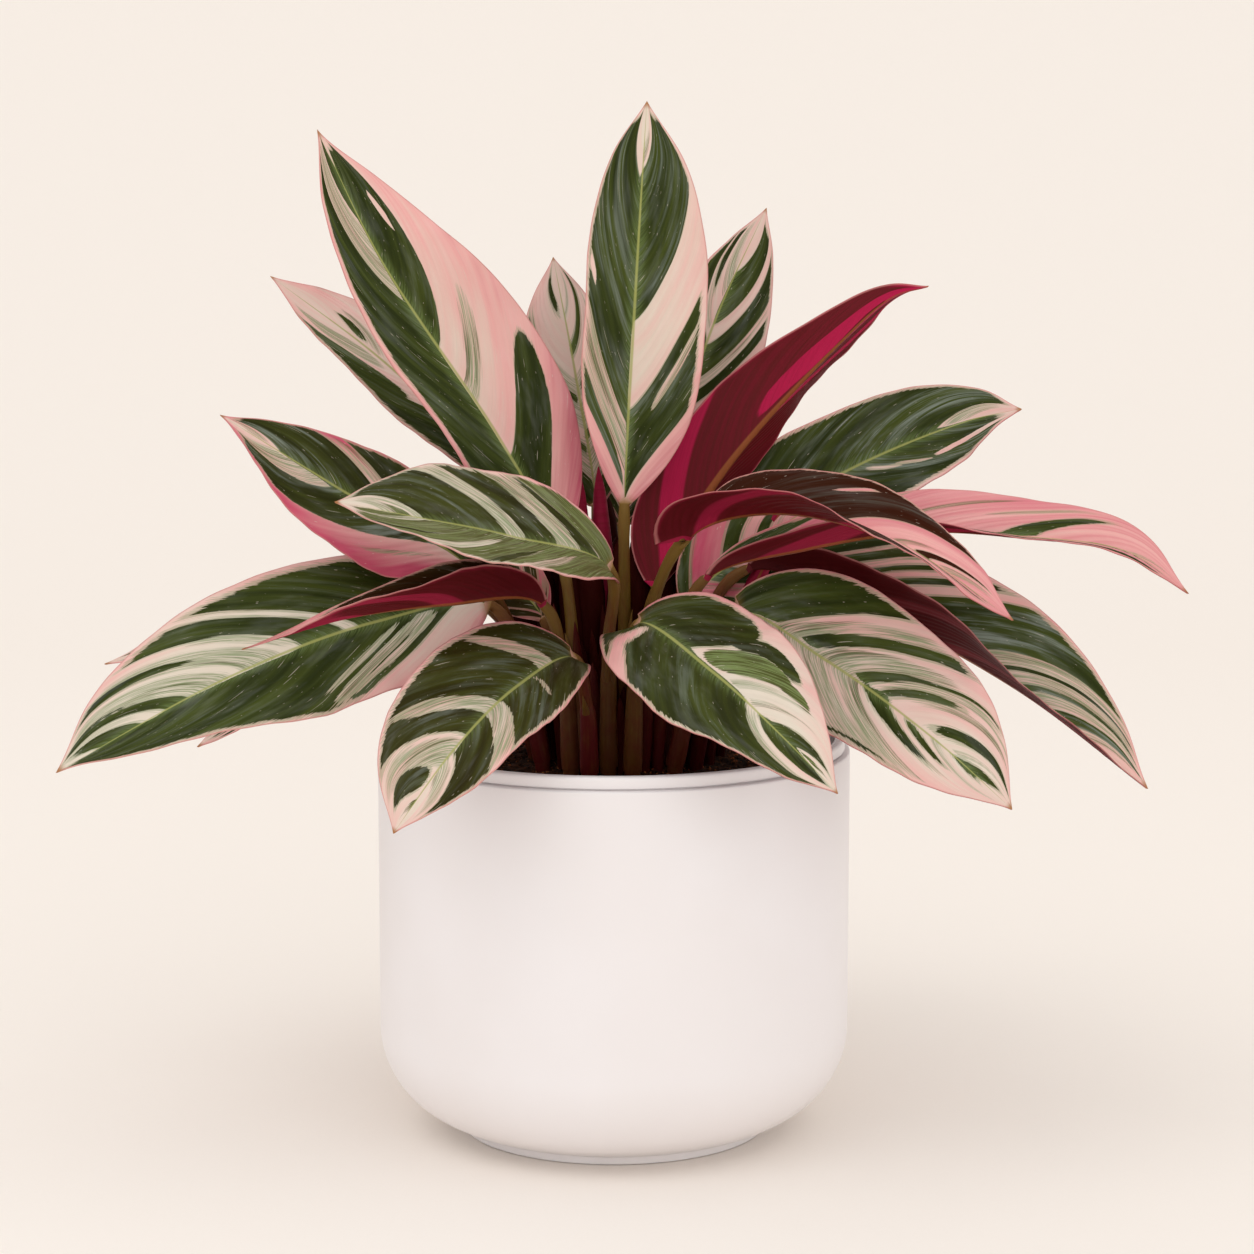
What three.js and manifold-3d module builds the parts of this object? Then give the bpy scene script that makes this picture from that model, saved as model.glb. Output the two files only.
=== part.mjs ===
// A potted stromanthe triostar: a footed ceramic pot, a bed of potting mix, and the plant's leaves.
// Every leaf is one solid: its stalk stands in a hole in the mix and runs on as the midrib of a thin,
// folded and waved blade. Millimetres, +Z up. The origin is the centre of the pot's foot, on the floor.
import * as THREE from "three";
import { mergeVertices } from "three/addons/utils/BufferGeometryUtils.js";
import Module from "manifold-3d";

const wasm = await Module();
wasm.setup();

// ---- Pot ----
const POT_RADIUS = 90;
const POT_HEIGHT = 152;
const SHOULDER_HEIGHT = 147; // where the wall steps in to the lip
const LIP_RADIUS = 88;
const GROOVE_RADIUS = 86.6; // the bottom of the groove between the wall and the lip
const BORE_RADIUS = 84; // the inside of the wall
const FOOT_RADIUS = 59;
const FOOT_HEIGHT = 3;
const BELLY_HEIGHT = 40; // the rounded bottom runs from the foot up to here
const BELLY_CENTRE = 50; // how far out the centre of the bottom's rounding lies
const BELLY_FLOOR = 2.5; // the lowest point of the bottom's rounding, which the foot hides
const FLOOR_HEIGHT = 11; // the inside floor
const EDGE = 0.9; // the small bevels on the foot and the lip
const POT_SIDES = 44;
const BELLY_STEPS = 8;
const INSIDE_STEPS = 5;

// ---- Potting mix ----
const MIX_TOP = 140;
const MIX_CLEARANCE = 0.3;
const MIX_BUMP = 0.7; // the height of the surface's small bumps
const MIX_MOUND = 2.5; // how far the mix is heaped up round the stalks
const MIX_MOUND_SPREAD = 27;
const MIX_RINGS = 6;
const HOLE_CLEARANCE = 0.35;
const HOLE_SIDES = 12;
const ROOT_DEPTH = 14; // how far a stalk stands in the mix
const STALK_START = MIX_TOP + 3.5; // a stalk stands straight up to here
const CLUMP_Y = 12; // the middle of the clump of stalks

// ---- Leaf section ----
const STALK_FOOT_RADIUS = 3.0;
const STALK_TOP_RADIUS = 1.9;
const BLADE_THICKNESS = 0.8;
const MIDRIB_DEPTH = 1.5; // how far the midrib stands out under the blade at the heel
const MIDRIB_TIP_DEPTH = 0.2;
const WAVE_HEIGHT = 1.2; // the margin's waves
const WAVES = 2.6;
const ARCH = 0.1; // how far each margin curls down, as a share of the half width
const LOBE_SPAN = 0.3; // the lobes at the heel end this far up the blade
const CROSS = [-1, -0.62, -0.17, 0, 0.17, 0.62, 1]; // places across a blade, in half widths
const SECTION_POINTS = 2 * CROSS.length;
const MIDRIB = (CROSS.length - 1) / 2; // the midrib's place in CROSS
const STALK_STEPS = [0.18, 0.45, 0.75, 0.94]; // places along a stalk, as shares of its length
const BLADE_STEPS = [0.02, 0.06, 0.13, 0.23, 0.34, 0.46, 0.58, 0.7, 0.81, 0.9, 0.965];
const FRAME_STEPS = 32;
const PIECE_DIVISIONS = 60; // how finely each piece of a centre line is measured

// ---- Leaves ----
// root: where the stalk stands in the mix (x, y). bend: points that the stalk passes through on its way up.
// spine: the midrib from heel to tip. face: which way the upper surface looks, from heel to tip.
// halves: the widest half width on the left and the right of the midrib, seen on the upper surface, tip up.
// lift: degrees that the left and the right half fold up from flat, each as [heel, tip].
// widest: where along the blade it is widest. full and bulge: how round each half is towards the heel and
// towards the tip. taper: how finely each half is drawn out at the tip. lobe: how far each half reaches
// back past the heel.
const LEAVES = {
  crown: {
    root: [2, 9], bend: [[4, 7, 195]],
    spine: [[4, 0, 240], [8, 2, 317], [12.5, 12, 391]],
    face: [[0, -1, 0.1], [0, -1, 0.1]],
    halves: [19, 27], lift: [[22, 8], [12, 4]], bulge: [3.3, 2.7],
  },
  left_tall: {
    root: [-10, -18], bend: [[-15, -6, 185]],
    spine: [[-21, 8, 222], [-43, 6, 264], [-86.5, -2, 331.5], [-110.5, 2, 380.5]],
    face: [[0.1, -1, 0.25], [0, -1, 0.2]],
    halves: [19, 34], lift: [[28, 20], [8, 8]], bulge: [2.4, 1.9], full: [5, 3], taper: [0.95, 1.15],
  },
  left_back: {
    root: [-17, 24], bend: [[-24, 32, 195]],
    spine: [[-37, 42, 237], [-87, 58, 287], [-136.5, 75, 323]],
    face: [[0.1, -1, 0.5], [0.1, -1, 0.4]],
    halves: [14, 21], lift: [[15, 10], [10, 10]], bulge: [1.8, 1.5],
  },
  left_middle: {
    root: [-30, 6], bend: [[-38, 1, 190]],
    spine: [[-53, -9, 216], [-102, -29, 249.5], [-143.5, -41, 277.5]],
    face: [[0, -0.9, 0.6], [0, -0.9, 0.5]],
    halves: [24, 20.5], lift: [[15, 8], [12, 10]], widest: 0.4,
    bulge: [1.7, 1.8], full: [2.2, 3], taper: [1.2, 1],
  },
  left_front: {
    root: [-2, -22], bend: [[-2, -26, 190]],
    spine: [[-1.5, -35, 220], [-37, -60, 235], [-71, -85, 245], [-97, -100, 252]],
    face: [[0, -0.75, 0.65], [0, -0.75, 0.65]],
    halves: [23, 29], lift: [[30, 25], [8, 5]], lobe: [9, 3], full: [3.8, 3.8], taper: [1.05, 1.05],
  },
  left_low: {
    root: [-27, -10], bend: [[-34, -12, 178]],
    spine: [[-46, -14, 203.5], [-88, -33, 200], [-138, -58, 184], [-199, -85, 153]],
    face: [[-0.1, -0.85, 0.5], [-0.15, -0.85, 0.5]],
    halves: [30, 33], lift: [[8, 8], [8, 8]], bulge: [1.3, 2.6], full: [5, 2.4], taper: [1.15, 0.95],
  },
  left_behind: {
    root: [-28, 24], bend: [[-36, 27, 178]],
    spine: [[-52, 32, 198], [-108, 42, 193], [-163, 44, 183], [-200, 38, 173]],
    face: [[-0.1, -0.5, 0.9], [-0.2, -0.5, 0.9]],
    halves: [22, 22], lift: [[15, 10], [0, 0]], bulge: [2, 1.6],
  },
  left_hidden: {
    root: [-19, 14], bend: [[-26, 17, 166]],
    spine: [[-40, 18, 184], [-82, 16, 180], [-128, 12, 166], [-160, 5, 146]],
    face: [[-0.1, -0.3, 0.9], [-0.3, -0.4, 0.8]],
    halves: [20, 20], lift: [[10, 10], [5, 5]],
  },
  left_folded: {
    root: [-16, -26], bend: [[-19, -28, 185]],
    spine: [[-26, -31, 206], [-60, -60, 210], [-95, -80, 208], [-131, -94, 199]],
    face: [[0, -0.1, 1], [0, -0.2, 1]],
    halves: [16, 16], lift: [[74, 60], [74, 60]], bulge: [1.1, 1.1], taper: [1.5, 1.5], widest: 0.35,
  },
  front_left: {
    root: [-9, -33], bend: [[-10, -40, 170]],
    spine: [[-14.5, -50, 189], [-34.5, -78, 183], [-56, -108, 165], [-76, -124, 139]],
    face: [[-0.1, -0.8, 0.6], [-0.3, -0.9, 0.3]],
    halves: [20, 31], lift: [[15, 5], [15, 5]], lobe: [9, 4], full: [4, 4], bulge: [2, 2.7],
  },
  front_right: {
    root: [7, -31], bend: [[8, -37, 178]],
    spine: [[9, -46, 201], [36, -85, 189], [58, -112, 172], [78, -124, 153]],
    face: [[0.1, -0.8, 0.6], [0.3, -0.9, 0.4]],
    halves: [29, 27], lift: [[10, 5], [5, 5]], lobe: [10, 22], full: [4.6, 4.6], bulge: [1.7, 1.4],
  },
  right_front: {
    root: [23, -19], bend: [[32, -23, 182]],
    spine: [[45, -28, 203], [78, -50, 188], [115, -78, 164], [142, -92, 141]],
    face: [[0.1, -0.8, 0.6], [0.3, -0.8, 0.5]],
    halves: [33, 26], lift: [[25, 5], [8, 5]], lobe: [4, 4], bulge: [2.6, 2], full: [4.4, 3],
  },
  right_droop: {
    root: [24, 0], bend: [[32, 2, 189]],
    spine: [[50, 1, 215], [97, -12, 201], [150, -32, 174.5], [197, -48, 140]],
    face: [[0.3, -0.3, 1], [0.5, -0.4, 0.8]],
    halves: [33.5, 24], lift: [[55, 45], [82, 30]], bulge: [2.2, 1.4],
  },
  right_long: {
    root: [20, -9], bend: [[25, -10, 188]],
    spine: [
      [34, -12, 213], [72, -20, 225.5], [115, -27, 233], [152, -29, 231], [190, -28, 225.5], [214, -26, 209.5],
    ],
    face: [[0, 0, 1], [0.4, -0.5, 0.8]],
    halves: [17, 13], lift: [[60, 35], [68, 15]], bulge: [3, 1.3],
  },
  right_upper: {
    root: [17, 22], bend: [[24, 25, 188]],
    spine: [[38, 30, 218], [93, 40, 250], [136, 38, 268], [157, 28, 274]],
    face: [[0, -0.9, 0.5], [0, -0.8, 0.6]],
    halves: [24, 23], lift: [[15, 10], [15, 10]], bulge: [2.8, 2.4],
  },
  right_magenta: {
    root: [8, 2], bend: [[11, 3, 180]],
    spine: [[16, 5, 207], [41, 14, 250], [86, 25, 299], [107, 30, 317], [121, 32, 321]],
    face: [[-0.1, 1, 0.1], [-0.2, 1, 0.2]],
    halves: [21, 23], lift: [[56, 62], [15, 10]], bulge: [1.6, 1.4], full: [3, 6],
  },
  right_arched: {
    root: [7, -14], bend: [[12, -20, 195]],
    spine: [[27, -31, 231], [58, -46, 242], [100, -61, 234], [143, -78, 207]],
    face: [[-0.3, -0.3, 1], [0.4, -0.2, 0.9]],
    halves: [21, 24], lift: [[35, 38], [60, 10]], lobe: [0, 14], full: [4, 8],
  },
  back_left_small: {
    root: [-6, 27], bend: [[-7, 32, 195]],
    spine: [[-7, 40, 235], [-15, 50, 285], [-24, 62, 331]],
    face: [[0, -1, 0.2], [0, -1, 0.2]],
    halves: [23, 18], lift: [[15, 8], [15, 8]], bulge: [2, 2],
  },
  back_right_tall: {
    root: [9, 33], bend: [[11, 38, 200]],
    spine: [[18, 48, 240], [39, 58, 305], [60, 70, 350]],
    face: [[0.1, -1, 0.2], [0.1, -1, 0.2]],
    halves: [20, 23], lift: [[12, 8], [12, 8]], bulge: [1.5, 2],
  },
  back_left_low: {
    root: [-24, 38], bend: [[-33, 48, 172]],
    spine: [[-46, 64, 190], [-72, 98, 190], [-98, 130, 176], [-112, 152, 152]],
    face: [[-0.3, 0.3, 0.9], [-0.4, 0.5, 0.7]],
    halves: [25, 25], lift: [[15, 8], [15, 8]],
  },
  back_left_arched: {
    root: [-12, 41], bend: [[-18, 52, 185]],
    spine: [[-26, 68, 212], [-42, 100, 228], [-58, 132, 226], [-70, 160, 206]],
    face: [[0.1, -0.2, 1], [-0.3, 0.5, 0.8]],
    halves: [24, 24], lift: [[18, 8], [18, 8]],
  },
  back_upright: {
    root: [2, 43], bend: [[2, 54, 195]],
    spine: [[3, 66, 224], [6, 96, 262], [8, 128, 280], [8, 158, 280]],
    face: [[0, -1, 1], [0, 0, 1]],
    halves: [24, 24], lift: [[18, 8], [18, 8]],
  },
  back_middle_low: {
    root: [10, 50], bend: [[12, 62, 168]],
    spine: [[14, 78, 184], [18, 112, 188], [20, 146, 174], [20, 168, 150]],
    face: [[0, 0.1, 1], [0, 0.6, 0.7]],
    halves: [25, 25], lift: [[15, 8], [15, 8]],
  },
  back_right_arched: {
    root: [19, 42], bend: [[26, 54, 185]],
    spine: [[36, 70, 212], [56, 100, 228], [76, 128, 224], [90, 150, 204]],
    face: [[-0.1, -0.2, 1], [0.3, 0.5, 0.8]],
    halves: [23, 23], lift: [[18, 8], [18, 8]],
  },
  back_right_low: {
    root: [30, 32], bend: [[40, 42, 172]],
    spine: [[54, 56, 190], [84, 84, 190], [112, 108, 174], [128, 124, 150]],
    face: [[0.3, 0.3, 0.9], [0.5, 0.5, 0.7]],
    halves: [25, 25], lift: [[15, 8], [15, 8]],
  },
};

const UP = new THREE.Vector3(0, 0, 1);

// ---- Small tools ----
const vector = (p) => new THREE.Vector3(p[0], p[1], p[2]);
const radians = (degrees) => (degrees * Math.PI) / 180;

// 0 to 1, starting and ending gently.
const smooth = (share) => share * share * (3 - 2 * share);

function solidOf(geometry) {
  const bare = geometry.clone();
  bare.deleteAttribute("normal");
  bare.deleteAttribute("uv");
  const merged = mergeVertices(bare, 1e-4);
  return new wasm.Manifold(
    new wasm.Mesh({
      numProp: 3,
      vertProperties: new Float32Array(merged.attributes.position.array),
      triVerts: new Uint32Array(merged.index.array),
    }),
  );
}

function geometryOf(solid) {
  const mesh = solid.getMesh();
  const geometry = new THREE.BufferGeometry();
  geometry.setAttribute("position", new THREE.BufferAttribute(mesh.vertProperties, 3));
  geometry.setIndex(new THREE.BufferAttribute(mesh.triVerts, 1));
  return geometry;
}

// Points on the quarter ellipse that rounds a bowl of this radius down to its floor, between two angles.
function bowlArc(radius, floor, from, to, steps) {
  const arc = [];
  for (let i = 0; i <= steps; i++) {
    const a = from + ((to - from) * i) / steps;
    const r = BELLY_CENTRE + (radius - BELLY_CENTRE) * Math.cos(a);
    arc.push([r, BELLY_HEIGHT - (BELLY_HEIGHT - floor) * Math.sin(a)]);
  }
  return arc;
}

// ---- The pot ----
function potGeometry() {
  const profile = [[0, 0], [FOOT_RADIUS - EDGE, 0], [FOOT_RADIUS, EDGE], [FOOT_RADIUS, FOOT_HEIGHT]];
  const turn = Math.acos((FOOT_RADIUS + EDGE - BELLY_CENTRE) / (POT_RADIUS - BELLY_CENTRE));
  profile.push(...bowlArc(POT_RADIUS, BELLY_FLOOR, turn, 0, BELLY_STEPS));
  profile.push([POT_RADIUS, SHOULDER_HEIGHT - EDGE], [POT_RADIUS - EDGE, SHOULDER_HEIGHT]);
  profile.push([GROOVE_RADIUS, SHOULDER_HEIGHT - EDGE / 2], [GROOVE_RADIUS, SHOULDER_HEIGHT + EDGE / 2]);
  profile.push([LIP_RADIUS, SHOULDER_HEIGHT + EDGE], [LIP_RADIUS, POT_HEIGHT - EDGE]);
  profile.push([LIP_RADIUS - EDGE, POT_HEIGHT], [BORE_RADIUS + EDGE, POT_HEIGHT]);
  profile.push([BORE_RADIUS, POT_HEIGHT - EDGE]);
  profile.push(...bowlArc(BORE_RADIUS, FLOOR_HEIGHT, 0, Math.PI / 2, INSIDE_STEPS), [0, FLOOR_HEIGHT]);
  const points = profile.map(([r, z]) => new THREE.Vector2(r, z));
  return new THREE.LatheGeometry(points, POT_SIDES).rotateX(Math.PI / 2);
}

// ---- The potting mix ----
function mixHeight(x, y) {
  const bumps = Math.sin(x * 0.21 + 1.3) * Math.cos(y * 0.17) + 0.6 * Math.sin(x * 0.47 - y * 0.39);
  const mound = Math.exp(-(x * x + (y - CLUMP_Y) ** 2) / (2 * MIX_MOUND_SPREAD ** 2));
  return MIX_TOP + MIX_BUMP * bumps + MIX_MOUND * mound;
}

function mixSolid() {
  const radius = BORE_RADIUS - MIX_CLEARANCE;
  const floor = FLOOR_HEIGHT + MIX_CLEARANCE;
  const profile = [[0, floor], ...bowlArc(radius, floor, Math.PI / 2, 0, INSIDE_STEPS)];
  for (let i = 0; i <= MIX_RINGS; i++) profile.push([radius * (1 - i / MIX_RINGS), MIX_TOP]);
  const points = profile.map(([r, z]) => new THREE.Vector2(r, z));
  const geometry = new THREE.LatheGeometry(points, POT_SIDES).rotateX(Math.PI / 2);
  const place = geometry.attributes.position;
  for (let i = 0; i < place.count; i++) {
    if (place.getZ(i) > MIX_TOP - 0.1) place.setZ(i, mixHeight(place.getX(i), place.getY(i)));
  }
  let solid = solidOf(geometry);
  const depth = ROOT_DEPTH + HOLE_CLEARANCE;
  const radiusOfHole = (STALK_FOOT_RADIUS + HOLE_CLEARANCE) / Math.cos(Math.PI / HOLE_SIDES);
  for (const leaf of Object.values(LEAVES)) {
    const hole = new THREE.CylinderGeometry(radiusOfHole, radiusOfHole, 2 * depth, HOLE_SIDES);
    hole.rotateX(Math.PI / 2).translate(leaf.root[0], leaf.root[1], MIX_TOP);
    solid = solid.subtract(solidOf(hole));
  }
  return solid;
}

// ---- A leaf ----
// Half width of the blade as a share of the widest, at a share of its length.
function outline(s, side, { full = [3, 3], widest = 0.45, bulge = [2, 2], taper = [0.95, 0.95] }) {
  if (s < widest) return 1 - (1 - s / widest) ** full[side];
  return (1 - ((s - widest) / (1 - widest)) ** bulge[side]) ** taper[side];
}

// The centre line from the mix to the tip, and the share of its length at which the blade starts.
function leafLine(leaf) {
  const stalk = [[...leaf.root, STALK_START], ...leaf.bend];
  const line = new THREE.CatmullRomCurve3([...stalk, ...leaf.spine].map(vector), false, "centripetal");
  const pieces = line.points.length - 1;
  line.arcLengthDivisions = PIECE_DIVISIONS * pieces;
  const lengths = line.getLengths();
  return { line, heel: lengths[PIECE_DIVISIONS * stalk.length] / line.getLength() };
}

// A frame that stands square to the centre line: along it, across it to the right, and out of the upper face.
function frameAt(tangent, face) {
  const out = face.clone().addScaledVector(tangent, -face.dot(tangent)).normalize();
  return { tangent, out, right: tangent.clone().cross(out) };
}

// Frames up the stalk, evenly spaced, carried down from the heel without a twist.
function stalkFrames(line, heel, face) {
  const frames = [];
  let out = face;
  for (let i = FRAME_STEPS; i >= 0; i--) {
    frames[i] = frameAt(line.getTangentAt((heel * i) / FRAME_STEPS), out);
    out = frames[i].out;
  }
  return frames;
}

function stalkSection(centre, frame, radius) {
  const section = [];
  for (let i = 0; i < SECTION_POINTS; i++) {
    const turn = Math.PI - ((2 * i + 1) * Math.PI) / SECTION_POINTS;
    const point = centre.clone().addScaledVector(frame.right, radius * Math.cos(turn));
    section.push(point.addScaledVector(frame.out, radius * Math.sin(turn)));
  }
  return section;
}

// One section of the blade: the upper face from the left margin to the right, then the lower face back.
function bladeSection(leaf, number, centre, frame, s) {
  const { lobe = [2, 2] } = leaf;
  const rib = MIDRIB_DEPTH * (1 - s) ** 1.5 + MIDRIB_TIP_DEPTH;
  const back = Math.max(0, 1 - s / LOBE_SPAN) ** 2;
  const still = Math.min(1, 8 * s * (1 - s)); // the margin doesn't wave at the heel and the tip
  const upper = [];
  const lower = [];
  for (const v of CROSS) {
    const side = v < 0 ? 0 : 1;
    const width = leaf.halves[side] * outline(s, side, leaf);
    const [heelLift, tipLift] = leaf.lift[side];
    const lift = radians(heelLift + (tipLift - heelLift) * smooth(s));
    const outward = frame.right.clone().multiplyScalar(Math.sign(v) * Math.cos(lift));
    outward.addScaledVector(frame.out, Math.sin(lift));
    const normal = frame.out.clone().multiplyScalar(Math.cos(lift));
    normal.addScaledVector(frame.right, -Math.sign(v) * Math.sin(lift));
    const wave = WAVE_HEIGHT * Math.sin(2 * Math.PI * (WAVES * s + 0.31 * number) + 2 * side);
    const place = centre.clone().addScaledVector(outward, Math.abs(v) * width);
    place.addScaledVector(normal, v * v * (wave * still - ARCH * width));
    place.addScaledVector(frame.tangent, -lobe[side] * v * v * back);
    const under = BLADE_THICKNESS / 2 + (v === 0 ? rib : 0);
    upper.push(place.clone().addScaledVector(normal, BLADE_THICKNESS / 2));
    lower.push(place.clone().addScaledVector(normal, -under));
  }
  return [...upper, ...lower.reverse()];
}

function leafSections(leaf, number) {
  const { line, heel } = leafLine(leaf);
  const [heelFace, tipFace] = leaf.face.map(vector);
  const frames = stalkFrames(line, heel, heelFace);
  const foot = new THREE.Vector3(...leaf.root, MIX_TOP - ROOT_DEPTH);
  const standing = frameAt(UP, frames[0].out);
  const sections = [foot, line.getPoint(0)].map((p) => stalkSection(p, standing, STALK_FOOT_RADIUS));
  for (const share of STALK_STEPS) {
    const radius = STALK_FOOT_RADIUS + (STALK_TOP_RADIUS - STALK_FOOT_RADIUS) * share;
    const frame = frames[Math.round(share * FRAME_STEPS)];
    sections.push(stalkSection(line.getPointAt(heel * share), frame, radius));
  }
  sections.push(stalkSection(line.getPointAt(heel), frames[FRAME_STEPS], STALK_TOP_RADIUS));
  for (const s of BLADE_STEPS) {
    const place = heel + s * (1 - heel);
    const face = heelFace.clone().lerp(tipFace, smooth(s));
    const frame = frameAt(line.getTangentAt(place), face);
    sections.push(bladeSection(leaf, number, line.getPointAt(place), frame, s));
  }
  return { sections, foot, tip: line.getPoint(1) };
}

function leafGeometry(leaf, number) {
  const { sections, foot, tip } = leafSections(leaf, number);
  const points = sections.flat().map((p) => p.toArray());
  const faces = [];
  for (let k = 0; k + 1 < sections.length; k++) {
    for (let i = 0; i < SECTION_POINTS; i++) {
      const j = (i + 1) % SECTION_POINTS;
      const here = k * SECTION_POINTS;
      const [a, b, c, d] = [here + i, here + j, here + SECTION_POINTS + j, here + SECTION_POINTS + i];
      // The two faces of the blade split alike: each strip outwards from the midrib, towards the tip.
      const onUpper = i < CROSS.length;
      const onLeft = onUpper ? i < MIDRIB : i >= SECTION_POINTS - 1 - MIDRIB;
      if (onUpper !== onLeft) faces.push([a, b, c], [a, c, d]);
      else faces.push([a, b, d], [b, c, d]);
    }
  }
  const footPoint = points.push(foot.toArray()) - 1;
  const tipPoint = points.push(tip.toArray()) - 1;
  const last = (sections.length - 1) * SECTION_POINTS;
  for (let i = 0; i < SECTION_POINTS; i++) {
    const j = (i + 1) % SECTION_POINTS;
    faces.push([footPoint, j, i], [tipPoint, last + i, last + j]);
  }
  const geometry = new THREE.BufferGeometry();
  geometry.setAttribute("position", new THREE.Float32BufferAttribute(points.flat(), 3));
  return geometry.setIndex(faces.flat());
}

// ---- Assembly ----
const material = (color, roughness) => new THREE.MeshStandardMaterial({ color, roughness });
const ceramic = material("#efebe8", 0.45);
const mix = material("#2a1a12", 0.95);
const foliage = material("#5f7a4e", 0.45);

const plant = new THREE.Group();
function add(name, geometry, finish) {
  const mesh = new THREE.Mesh(geometry, finish.clone());
  mesh.name = name;
  plant.add(mesh);
}

add("pot", potGeometry(), ceramic);
add("potting_mix", geometryOf(mixSolid()), mix);
Object.entries(LEAVES).forEach(([name, leaf], number) => {
  add(`leaf_${name}`, leafGeometry(leaf, number), foliage);
});

export default plant;
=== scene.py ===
"""A potted stromanthe triostar: fine leaves, sheathed stalks, potting mix and a satin white pot."""

import math
import random
from functools import partial

import bpy
import numpy as np
from bpy.props import FloatProperty, FloatVectorProperty, IntProperty, PointerProperty
from bpy.types import Operator, Panel, PropertyGroup
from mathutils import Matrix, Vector, noise


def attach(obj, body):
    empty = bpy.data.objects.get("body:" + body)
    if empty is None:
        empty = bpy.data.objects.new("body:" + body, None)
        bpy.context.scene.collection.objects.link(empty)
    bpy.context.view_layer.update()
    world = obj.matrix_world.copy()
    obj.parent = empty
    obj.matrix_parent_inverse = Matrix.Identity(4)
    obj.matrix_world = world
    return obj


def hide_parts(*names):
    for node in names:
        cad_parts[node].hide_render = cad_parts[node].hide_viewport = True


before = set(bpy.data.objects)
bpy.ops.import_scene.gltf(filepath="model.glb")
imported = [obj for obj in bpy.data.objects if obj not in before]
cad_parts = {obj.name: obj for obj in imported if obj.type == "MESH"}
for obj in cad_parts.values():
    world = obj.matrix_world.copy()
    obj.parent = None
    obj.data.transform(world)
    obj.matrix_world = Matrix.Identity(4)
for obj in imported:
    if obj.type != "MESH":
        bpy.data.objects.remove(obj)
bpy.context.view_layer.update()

bl_info = {
    "name": "Potted Triostar",
    "version": (1, 0, 0),
    "blender": (4, 5, 0),
    "location": "3D View > Sidebar > Triostar",
    "description": "Builds a variegated prayer plant in its ceramic pot",
    "category": "Object",
}

MM = 0.001

# ---- Sizes shared with the solids, in millimetres ----
POT_RADIUS = 90
POT_HEIGHT = 152
SHOULDER_HEIGHT = 147
LIP_RADIUS = 88
GROOVE_RADIUS = 86.6
BORE_RADIUS = 84
FOOT_RADIUS = 59
FOOT_HEIGHT = 3
BELLY_HEIGHT = 40
BELLY_CENTRE = 50
BELLY_FLOOR = 2.5
FLOOR_HEIGHT = 11
EDGE = 0.9
MIX_TOP = 140
MIX_CLEARANCE = 0.3
MIX_BUMP = 0.7
MIX_MOUND = 2.5
MIX_MOUND_SPREAD = 27
CLUMP_Y = 12
ROOT_DEPTH = 14
STALK_START = MIX_TOP + 3.5
STALK_FOOT_RADIUS = 3.0
STALK_TOP_RADIUS = 1.9
WAVE_HEIGHT = 1.2
WAVES = 2.6
WAVE_SHIFT = 0.31  # how far along its waves each leaf starts after the one before
ARCH = 0.1
LOBE_SPAN = 0.3
DRAWN_FROM, DRAWN = 0.86, 0.4  # where a blade is drawn to its fine tip, and how much narrower it gets
FIRST_SECTION = 0.02  # the blade's own sections start this far up it
PIECE_DIVISIONS = 60
FRAME_STEPS = 32

# ---- The finer leaf ----
# Places across a half, from the midrib out to the margin, and closer together by the margin.
ACROSS = 1 - (1 - np.linspace(0, 1, 20)[1:]) ** 1.25
CROSS = np.concatenate([-ACROSS[::-1], [0.0], ACROSS])
HEEL_ROWS, BLADE_ROWS, TIP_ROWS = 24, 96, 12
HEEL_END, TIP_START, LAST_ROW = 0.12, 0.93, 0.996
STALK_ROWS = 24
JOINS = np.array([0.25, 0.5, 0.75])  # the sections between the round stalk and the flat blade
VEIN_SLANT = 0.28  # how far a side vein runs towards the tip on its way out, as a share of the blade
VEIN_SLANT_GAIN = 0.25  # veins further up run more towards the tip
VEIN_BEND = 1.35
ROW_START, ROW_STOP = 2.5, 0.8  # how fast rows take up the veins' slant at the heel and lose it at the tip
ROW_BLEND = 40.0  # how sharply the rows change from one to the other
# Towards the heel the ground deepens to rose: partly its own pink, partly painted glow and painted shade.
HEEL_BLUSH_AND_GLOW_END = 0.5  # the blush that deepens towards the heel starts this far up the blade
FIELD_LIMIT = 6.0  # the marking fields stop growing this far inside or outside a mark, in millimetres
TIP_CURVE, TIP_WAVE = 0.05, 0.012  # how far the marks' ends curve and waver at the tip, in blade lengths
TIP_SLOPE = 0.35  # a gentler slope of the field lets the streaks run further past those ends
MAP_UNIT = 100.0  # millimetres to one unit of the leaves' map
SEED_STEP = 10.0  # keeps the leaves' maps apart, so that no two share their streaks
STALK_GIRTH = 19.0
RIPPLE_HEIGHT, RIPPLES, RIPPLE_SHIFT = 0.22, 11, 0.17  # the small ripples of the margin
MARGIN_NUDGE = 0.35  # how far the margin strays from its smooth outline
MARGIN_THINNING = 0.4  # how much of its thickness a blade has lost at the margin, as a share
GROOVE_DEPTH, GROOVE_SHARE = 0.28, 0.035  # the groove along the midrib, and its width as a share of the half
RIB_LEAST = 0.2  # how far the midrib stands out under the tip
RIB_WIDTH, RIB_WIDENING = 0.9, 1.5  # about its half width at the tip, and how much more at the heel
SWELLING, SWELLING_DROP, SWELLING_LENGTH = 0.35, 7, 5  # the stalk's swelling, a little below the blade

# ---- The finer pot and mix ----
GROOVE_WIDTH = 0.6
LIP_ROUND = 1.4
MIX_SIDES, MIX_RINGS = 160, 64
LUMP_PITCH, LUMP_HEIGHT, LUMP_SINK = 0.35, 0.9, 0.4  # the bed's lumps, and how far they are sunk

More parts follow.
